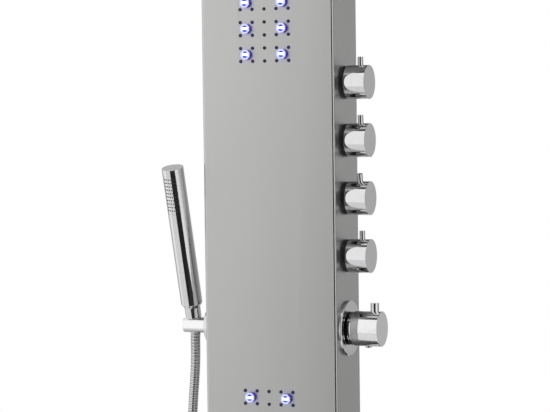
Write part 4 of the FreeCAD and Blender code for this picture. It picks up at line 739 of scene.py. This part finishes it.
class SHOWER_OT_hand_shower(bpy.types.Operator):
    """The hand shower: tube, cap, spray plate with its nozzles and the conical nut.

    Heights are along the leaning axis, from the height of the holder's arm.
    """

    bl_idname = "shower.hand_shower"
    bl_label = "Hand shower"

    def execute(self, context):
        axes = turned_about_x(UPRIGHT, LEAN)
        bright = FINISHES["bright_chrome"]
        tube = placed(self.grip(), HOLDER, axes)
        new_piece("hand_shower_tube_chrome", "hand_shower", *tube, bright, ("hand_shower_tube",))
        plate = placed(self.plate(), HOLDER, axes)
        satin = FINISHES["grey_spray_plate"]
        new_piece("hand_shower_plate", "hand_shower", *plate, satin, ("hand_shower_insert",))
        plug = BORE_RADIUS - 0.1
        in_bore = ((225, 0), (225, plug), (233.05, plug), (233.05, TUBE_RADIUS))
        above = ((233.25, TUBE_RADIUS), (CAP_TOP, TUBE_RADIUS), (CAP_TOP, 0))
        cap = placed(revolved(rounded((*in_bore, *above), 0.5), 128), HOLDER, axes)
        new_piece("hand_shower_cap_chrome", "hand_shower", *cap, self.cap_finish(), ("hand_shower_cap",))
        dots = placed(self.spray_dots(), HOLDER, axes)
        rubber_and_painted_shade = moulded("spray nozzles", (0.035, 0.035, 0.037), 0.4)
        new_piece("spray_nozzles", "hand_shower", *dots, rubber_and_painted_shade, slot="black_silicone")
        cone = ((-11, 5), (-11, 8.4), (-10, 9.1), (11.5, 10.6), (12.8, 11.4), (28, 11.5))
        thread = ((28, 8.2), (6, 8.2), (6, 5), (-11, 5))
        nut = placed(revolved(rounded((*cone, *thread), 0.5), 96), HOLDER, axes)
        new_piece("hose_nut_upper_chrome", "hand_shower", *nut, bright, ("hose_nut_upper",))
        return {"FINISHED"}

    @staticmethod
    def cap_finish():
        """Polished chrome round the cap and matt grey on its flat end, by height along the leaning axis."""
        m = material("cap chrome")
        _, y, z = m.places().xyz()
        lean = math.radians(LEAN)
        height = (z - HOLDER[2] * MM) * math.cos(lean) - (y - HOLDER[1] * MM) * math.sin(lean)
        end = height > (CAP_TOP - 0.2) * MM
        grain = m.noise((1.0, 1.0, 1.0), 900.0, 2.0)
        bright = bpy.context.scene.shower_metals.chrome
        return m.surface(
            Base_Color=m.mix(end, rgba(bright), rgba((0.6, 0.6, 0.6))),
            Metallic=1 - end * 0.85,
            Roughness=end * 0.5 + grain * 0.03 + 0.02,
        )

    @staticmethod
    def grip():
        """A tube of revolution whose faces inside the spray window are left out.

        The window's edges lie on the grid: its angles are those where r sin a reaches half its width.
        """
        steps = 24
        half = math.asin(WINDOW_HALF / TUBE_RADIUS)
        inside_window = np.linspace(-half, half, steps + 1)
        round_back = np.linspace(half, 2 * np.pi - half, 97)[1:-1]
        a = -np.pi / 2 + np.concatenate([inside_window, round_back])
        foot = ((28.2, 0), (28.2, 11.7), (33.5, TUBE_RADIUS))
        mouth = ((232.8, TUBE_RADIUS), (233, TUBE_RADIUS), (233, BORE_RADIUS))
        hollow = ((35, BORE_RADIUS), (31, 10), (31, 0))
        outline = rounded((*foot, *mouth, *hollow), 0.6, 4)
        outer = outline[: np.argmax(outline[:, 0] > 100)]
        levels = np.array([(height, TUBE_RADIUS) for height in WINDOW])
        profile = np.vstack([outer, levels, outline[len(outer) :]])
        points = np.empty((len(profile), len(a), 3))
        points[..., :2] = profile[:, 1, None, None] * np.stack([np.cos(a), np.sin(a)], -1)
        points[..., 2] = profile[:, :1]
        faces = grid_faces(len(profile), len(a), close_columns=True)
        row, column = np.divmod(np.arange(len(faces)), len(a))
        window = (row == len(outer)) & (column < steps)
        inside = (profile[:-1, 1] == BORE_RADIUS) & (profile[1:, 1] == BORE_RADIUS)
        return points.reshape(-1, 3), faces[~(window | (inside[row] & (column < steps)))]

    @staticmethod
    def plate():
        """The curved spray plate: an outer and an inner skin over the window, joined round their edges."""
        count = 33
        half = math.asin((WINDOW_HALF - 0.1) / TUBE_RADIUS)
        a = -np.pi / 2 + np.linspace(-half, half, count)
        wide = np.concatenate([a, a[::-1]])
        r = np.repeat((PLATE_RADIUS, BORE_RADIUS), count)
        ring = np.stack([r * np.cos(wide), r * np.sin(wide)], -1)
        h = np.repeat((WINDOW[0] + 0.1, WINDOW[1] - 0.1), 2)
        shrink = np.array((0.0, 1.0, 1.0, 0.0))[:, None, None]
        middle = np.array((0.0, -14.7))
        points = np.empty((4, 2 * count, 3))
        points[..., :2] = middle + (ring - middle) * shrink
        points[..., 2] = h[:, None]
        return points.reshape(-1, 3), grid_faces(4, 2 * count, close_columns=True)

    @staticmethod
    def spray_dots():
        """Small domes on the spray plate, dome (i, j) in row i and column j of a grid bent round the plate.

        Odd rows are shifted by 0.17 of a step one way, and even rows as far the other way.
        """
        rows, columns = 10, 6
        step, shift, bent_at = 3.45, 0.17, 15.4
        i, j = np.meshgrid(np.arange(rows), np.arange(columns), indexing="ij")
        across = (j - (columns - 1) / 2 + np.where(i % 2, shift, -shift)) * step
        height = 178.0 + i * 5.1
        bearing = across.ravel() / bent_at
        dome = revolved(((0.0, 0.9), (0.5, 0.85), (0.8, 0.6), (0.8, 0.35), (0.4, 0.0)), 12)
        x, y, out = np.asarray(dome[0]).T
        c, s = np.cos(bearing)[:, None], np.sin(bearing)[:, None]
        r = PLATE_RADIUS + out
        points = np.stack([r * s + x * c, -r * c + x * s, height.ravel()[:, None] + y + 0 * s], -1)
        count, each = len(bearing), len(x)
        faces = dome[1][None] + (np.arange(count) * each)[:, None, None]
        return points.reshape(-1, 3), faces.reshape(-1, 4)


class SHOWER_OT_holder(bpy.types.Operator):
    """The holder's arm and round base."""

    bl_idname = "shower.holder"
    bl_label = "Holder"

    def execute(self, context):
        # the arm's satin finish carries a painted highlight and painted shade
        dressed("holder_arm", 0.5, self.satin(), smooth=40.0)
        base = ((0, 6.1), (0, 27), (10, 27), (12.2, 26), (13, 24), (13, 6.1), (0, 6.1))
        away = ((0, 1, 0), (0, 0, -1), (-1, 0, 0))
        shape = placed(revolved(rounded(base, 1.0), 96), (-SIDE, HOLDER[1], HOLDER[2]), away)
        new_piece("holder_base_chrome", "column", *shape, FINISHES["bright_chrome"], ("holder_base",))
        return {"FINISHED"}

    @staticmethod
    def satin():
        """Satin chrome for the round arm, with a painted highlight along its middle and painted shade, greyer
        at the top and most at the bottom.
        """
        m = material("satin arm")
        _, _, z = m.places().xyz()
        up = z / MM - HOLDER[2]
        # painted highlight along the middle and painted shade at top and bottom
        painted_shade_edge = up.step(4.0, 10.0) * 0.5 + (up * -1.0).step(3.0, 9.5)
        grain = m.noise((1.0, 1.0, 1.0), 600.0, 2.0)
        return m.surface(
            Base_Color=m.mix(painted_shade_edge, rgba((0.94, 0.94, 0.94)), rgba((0.52, 0.52, 0.52))),
            Metallic=1.0,
            Roughness=grain * 0.08 + 0.14,
        )


HOSE_ROUTE = (
    (-136.2, -42.0, -941.8),
    (-138.4, -39.2, -951.0),
    (-139.9, -35.4, -968.0),
    (-142.0, -32.5, -998.0),
    (-147.0, -33.5, -1056.0),
    (-149.0, -40.0, -1160.0),
    (-149.8, -46.5, -1290.0),
    (-150.6, -50.5, -1410.0),
    (-150.6, -52.4, -1515.0),
    (-149.6, -53.6, -1603.0),
    (-149.0, -54.0, -1679.7),
    (-124.3, -54.4, -1722.3),
    (-81.7, -54.2, -1747.0),
    (-32.3, -53.4, -1747.0),
    (10.3, -52.2, -1722.3),
    (35.0, -50.8, -1679.7),
    (37.0, -49.4, -1604.0),
    (37.2, -47.6, -1545.0),
    (34.4, -45.9, -1500.0),
    (30.0, -45.0, -1463.0),
    (30.0, -45.0, -1430.0),
)
OUTLET = (30.0, -45.0, -1403.0)


class SHOWER_OT_hose(bpy.types.Operator):
    """The shower hose: an interlocked steel band along one smooth line, and its lower nut."""

    bl_idname = "shower.hose"
    bl_label = "Hose"

    def execute(self, context):
        sizes = context.scene.shower_hose
        line = self.line()
        points, faces, ribs = self.tube(line, sizes)
        hose = new_piece("hose_ribbed", None, points, faces, FINISHES["hose_steel"], ("hose",), smooth=70)
        mark = hose.data.attributes.new("rib", "FLOAT", "POINT")
        # The first end's points are merged by now, so a ring has the marks of the ring before it, but
        # for its last point.
        mark.data.foreach_set("value", ribs[: len(hose.data.vertices)].astype(np.float32))
        nut = ((0, 8.1), (0, 10.7), (-12, 10.7), (-27, 8.4), (-27, 5), (-12.1, 5), (-12.1, 8.1), (0, 8.1))
        shape = placed(revolved(rounded(nut, 0.5), 96), OUTLET, UPRIGHT)
        new_piece("hose_nut_lower_chrome", "column", *shape, FINISHES["bright_chrome"], ("hose_nut_lower",))
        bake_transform(hose)
        return {"FINISHED"}

    @staticmethod
    def line():
        """The points of a quadratic NURBS curve with the route as its control points."""
        curve = bpy.data.curves.new("hose_route", "CURVE")
        curve.dimensions = "3D"
        curve.resolution_u = 24
        spline = curve.splines.new("NURBS")
        spline.points.add(len(HOSE_ROUTE) - 1)
        places = np.ones((len(HOSE_ROUTE), 4))
        places[:, :3] = np.array(HOSE_ROUTE) * MM
        spline.points.foreach_set("co", places.ravel())
        spline.order_u = 3
        spline.use_endpoint_u = True
        guide = bpy.data.objects.new("hose_route", curve)
        bpy.context.scene.collection.objects.link(guide)
        mesh = bpy.data.meshes.new_from_object(guide)
        found = np.empty(len(mesh.vertices) * 3)
        mesh.vertices.foreach_get("co", found)
        bpy.data.objects.remove(guide)
        bpy.data.meshes.remove(mesh)
        return found.reshape(-1, 3)

    @staticmethod
    def tube(line, sizes):
        """Rings across the line: at length s the radius is the hose's less groove (1 - rib(s)).

        rib(s) rises and falls once in each pitch, and every second groove is shallower, as the band
        interlocks; a ring stands on the line's tangent t, with n = Y - (Y.t) t and b = t x n as its axes.
        """
        steps = np.linalg.norm(np.diff(line, axis=0), axis=1)
        along = np.concatenate([[0], np.cumsum(steps)])
        length = along[-1]
        count = 2 * max(1, round(length / sizes.pitch / 2))
        phases = np.array((0.0, 0.1, 0.3, 0.52, 0.64, 0.82))
        heights = np.array((0.15, 0.85, 1.0, 0.9, 0.15, 0.0))
        s = np.append(((np.arange(count)[:, None] + phases) / count * length).ravel(), length)
        depth = np.tile((1.0, 0.6), count // 2)[:, None]
        rib = np.append((1 - (1 - heights) * depth).ravel(), 0.15)
        centre = np.stack([np.interp(s, along, line[:, k]) for k in range(3)], -1)
        t = np.gradient(centre, s, axis=0)
        t /= np.linalg.norm(t, axis=1, keepdims=True)
        n = np.array((0.0, 1.0, 0.0)) - t * t[:, 1:2]
        n /= np.linalg.norm(n, axis=1, keepdims=True)
        b = np.cross(t, n)
        sides = 24
        a = np.linspace(0, 2 * np.pi, sides, endpoint=False)
        r = (sizes.diameter / 2 - sizes.groove * (1 - rib))[:, None, None]
        ring = n[:, None] * np.cos(a)[:, None] + b[:, None] * np.sin(a)[:, None]
        walls = centre[:, None] + ring * r
        ends = np.repeat(centre[[0, -1]][:, None], sides, 1)
        points = np.concatenate([ends[:1], walls, ends[1:]])
        marks = np.repeat(np.concatenate([[rib[0]], rib, [rib[-1]]]), sides)
        faces = grid_faces(len(points), sides, close_columns=True)
        return points, faces, marks


class SHOWER_OT_inside(bpy.types.Operator):
    """Everything behind the steel: valves, pipes, water boxes, brackets and nuts."""

    bl_idname = "shower.inside"
    bl_label = "Inside"

    def execute(self, context):
        shown = {n for n, thing in frame["nodes"].items() if not thing.hide_render}
        for node in sorted(shown):
            mesh = frame["nodes"][node].data
            mesh.materials.clear()
            mesh.materials.append(FINISHES[SLOT_OF[node]])
        return {"FINISHED"}


# ---------------------------------------------------------------- stage

FLOOR_HALF, FLOOR_Z = 2.6, -2.0
SCREEN_RADIUS = 1.9
SENSOR_WIDTH = 36.0
FOCAL_PIXELS, PICTURE_WIDTH = 2066.289, 550
CAMERA_PLACE = (1.10817, -2.73845, -0.62943)
CAMERA_TURN = (22.527, 2.574, -0.751)


def camera_axes(azimuth, elevation, roll):
    """The camera's right, up and back directions, from its bearing, height and roll in degrees."""
    az, el, ro = (math.radians(v) for v in (azimuth, elevation, roll))
    back = np.array((math.sin(az) * math.cos(el), -math.cos(az) * math.cos(el), math.sin(el)))
    right = np.array((math.cos(az), math.sin(az), 0.0))
    up = np.cross(back, right)
    c, s = math.cos(ro), math.sin(ro)
    return c * right + s * up, -s * right + c * up, back


class SHOWER_OT_stage(bpy.types.Operator):
    """Floor, studio light and the camera at the photograph's angle."""

    bl_idname = "shower.stage"
    bl_label = "Stage"

    def execute(self, context):
        self.floor()
        self.screens()
        self.lamps()
        self.world(context.scene)
        self.camera(context.scene)
        context.scene.view_settings.view_transform = "Standard"
        return {"FINISHED"}

    @staticmethod
    def prop(name, points, faces, cover):
        """A thing of the studio, from arrays in metres."""
        mesh = bpy.data.meshes.new(name)
        mesh.from_pydata(np.asarray(points, float).tolist(), [], np.asarray(faces).tolist())
        mesh.materials.append(cover)
        piece = bpy.data.objects.new(name, mesh)
        bpy.context.scene.collection.objects.link(piece)
        return piece

    def floor(self):
        """A pale matt square below the hose, which takes the object's shadow."""
        m = material("pale floor")
        mottle = m.noise((1.0, 1.0, 1.0), 3.0, 3.0)
        cover = m.surface(
            Base_Color=m.mix(mottle, rgba((0.84, 0.84, 0.84)), rgba((0.88, 0.88, 0.88))),
            Roughness=0.7,
        )
        corners = np.array(((-1, -1), (1, -1), (1, 1), (-1, 1))) * FLOOR_HALF
        self.prop("floor", np.insert(corners, 2, FLOOR_Z, axis=1), [(0, 1, 2, 3)], cover)

    def screens(self):
        """What the metal mirrors besides white: a black flag in front, a curved grey screen at the sides
        and behind, and black cards above and below. Only mirror rays meet them. Corners are in metres."""
        flat = [(0, 1, 2, 3)]
        flag = ((-0.2, -1.5, 1.3), (1.4, -1.5, 1.3), (1.5, -1.5, -1.98), (-0.37, -1.5, -1.98))
        canopy = ((-1.0, -1.05, 1.45), (1.3, -1.05, 1.45), (1.3, 2.2, 1.45), (-1.0, 2.2, 1.45))
        below_left = ((-0.55, -0.45), (-0.35, -0.45), (-0.35, 1.2), (-0.55, 1.2))
        below_right = ((-0.2, -0.2), (0.9, -0.2), (0.9, 1.2), (-0.2, 1.2))
        in_front = ((-0.3, -1.5), (1.5, -1.5), (1.5, -1.0), (-0.2, -1.0))
        mats = np.insert(np.array((*below_left, *below_right, *in_front)), 2, FLOOR_Z + 0.04, axis=1)
        a = np.radians(np.linspace(45.0, 262.0, 81))
        ring = np.stack([np.sin(a), -np.cos(a)], -1) * SCREEN_RADIUS
        wall = np.stack([np.insert(ring, 2, z, axis=1) for z in (-1.97, 1.4)]).reshape(-1, 3)
        cards = (
            ("black flag", flag, flat, self.shade("black felt", 0.008)),
            ("grey screen", wall, grid_faces(2, 81), self.shade("grey screen", None)),
            ("black canopy", canopy, flat, self.shade("canopy felt", 0.02)),
            ("black mats", mats, np.arange(12).reshape(3, 4), self.shade("mat felt", 0.02)),
        )
        for card in cards:
            piece = self.prop(*card)
            piece.visible_camera = False
            piece.visible_diffuse = False
            piece.visible_shadow = False
            piece.visible_transmission = False

    @staticmethod
    def shade(name, level):
        """A screen's own brightness: one level, or for the grey screen one by bearing and height."""
        m = material(name)
        weave = m.noise((1.0, 1.0, 1.0), 40.0, 2.0) * 0.015
        if level is None:
            x, y, z = m.places().xyz()
            bearing = x.arctan2(y * -1.0) * (180 / math.pi)
            right = 0.92 - bearing.step(58.0, 120.0) * 0.7 + bearing.step(115.0, 142.0) * 0.24
            left = bearing.step(-130.0, -95.0) * 0.16 + bearing.band(-157.0, 8.0, 14.0) * 0.3 + 0.44
            far = (bearing < 0).largest(bearing > 118.0)
            fade = 1 - abs(z + 0.9).step(0.6, 1.05) * far * 0.8
            level = (right * (bearing > 0) + left * (bearing < 0)) * fade
        glow = m.node("CombineColor", inputs={i: weave + level for i in range(3)})
        black = rgba((0.0, 0.0, 0.0))
        return m.surface(Base_Color=black, Roughness=1.0, Emission_Color=glow, Emission_Strength=1.0)

    @staticmethod
    def lamps():
        """One broad lamp high in front, on the left."""
        lamp = bpy.data.lights.new("soft lamp", "AREA")
        lamp.energy = 22.0
        lamp.size = 1.6
        thing = bpy.data.objects.new("soft lamp", lamp)
        place = Matrix.Translation((-1.6, -2.2, 1.6))
        aim = Matrix.Rotation(math.radians(-36), 4, "Z") @ Matrix.Rotation(math.radians(52), 4, "X")
        thing.matrix_world = place @ aim
        thing.visible_glossy = False
        bpy.context.scene.collection.objects.link(thing)

    @staticmethod
    def world(scene):
        """White to the camera and in mirrors and glass; a plain level of light on everything else."""
        m = Nodes(bpy.data.worlds.new("studio"))
        rays = [m.node("LightPath", output=f"Is {kind} Ray") for kind in ("Camera", "Glossy", "Transmission")]
        direct = rays[0].largest(rays[1]).largest(rays[2])
        sky = m.node("Background", inputs={"Color": rgba((1.0, 1.0, 1.0)), "Strength": direct * 0.2 + 0.8})
        m.node_output("World", sky)
        scene.world = m.owner

    @staticmethod
    def camera(scene):
        """The camera fitted to the photograph: its place, direction and focal length."""
        view = bpy.data.cameras.new("view")
        view.sensor_width = SENSOR_WIDTH
        view.lens = SENSOR_WIDTH * FOCAL_PIXELS / PICTURE_WIDTH
        view.clip_end = 50.0
        thing = bpy.data.objects.new("view", view)
        right, up, back = camera_axes(*CAMERA_TURN)
        turn = Matrix(np.stack([right, up, back], 1).tolist()).to_4x4()
        thing.matrix_world = Matrix.Translation(CAMERA_PLACE) @ turn
        scene.collection.objects.link(thing)
        scene.camera = thing


# ---------------------------------------------------------------- add-on

PIECES = (
    SHOWER_OT_column,
    SHOWER_OT_nozzles,
    SHOWER_OT_jets,
    SHOWER_OT_knobs,
    SHOWER_OT_mixer,
    SHOWER_OT_hand_shower,
    SHOWER_OT_holder,
    SHOWER_OT_hose,
    SHOWER_OT_inside,
    SHOWER_OT_stage,
)
GROUPS = {"shower_hose": HoseSizes, "shower_jets": JetSizes, "shower_metals": MetalColours}


class SHOWER_PT_panel(bpy.types.Panel):
    """Sizes, colours and one button for each piece."""

    bl_idname = "SHOWER_PT_panel"
    bl_label = "Shower Column"
    bl_space_type = "VIEW_3D"
    bl_region_type = "UI"
    bl_category = "Shower"

    def draw(self, context):
        for name, group in GROUPS.items():
            box = self.layout.box()
            for prop in group.__annotations__:
                box.prop(getattr(context.scene, name), prop)
        for piece in PIECES:
            self.layout.operator(piece.bl_idname)


def register():
    for group in GROUPS.values():
        bpy.utils.register_class(group)
    for name, group in GROUPS.items():
        setattr(bpy.types.Scene, name, bpy.props.PointerProperty(type=group))
    for piece in (*PIECES, SHOWER_PT_panel):
        bpy.utils.register_class(piece)


def unregister():
    for piece in (SHOWER_PT_panel, *reversed(PIECES)):
        bpy.utils.unregister_class(piece)
    for name in GROUPS:
        delattr(bpy.types.Scene, name)
    for group in reversed(GROUPS.values()):
        bpy.utils.unregister_class(group)


def main():
    register()
    FINISHES.update(all_finishes())
    for piece in PIECES:
        area, action = piece.bl_idname.split(".")
        getattr(getattr(bpy.ops, area), action)()


if __name__ == "__main__":
    main()
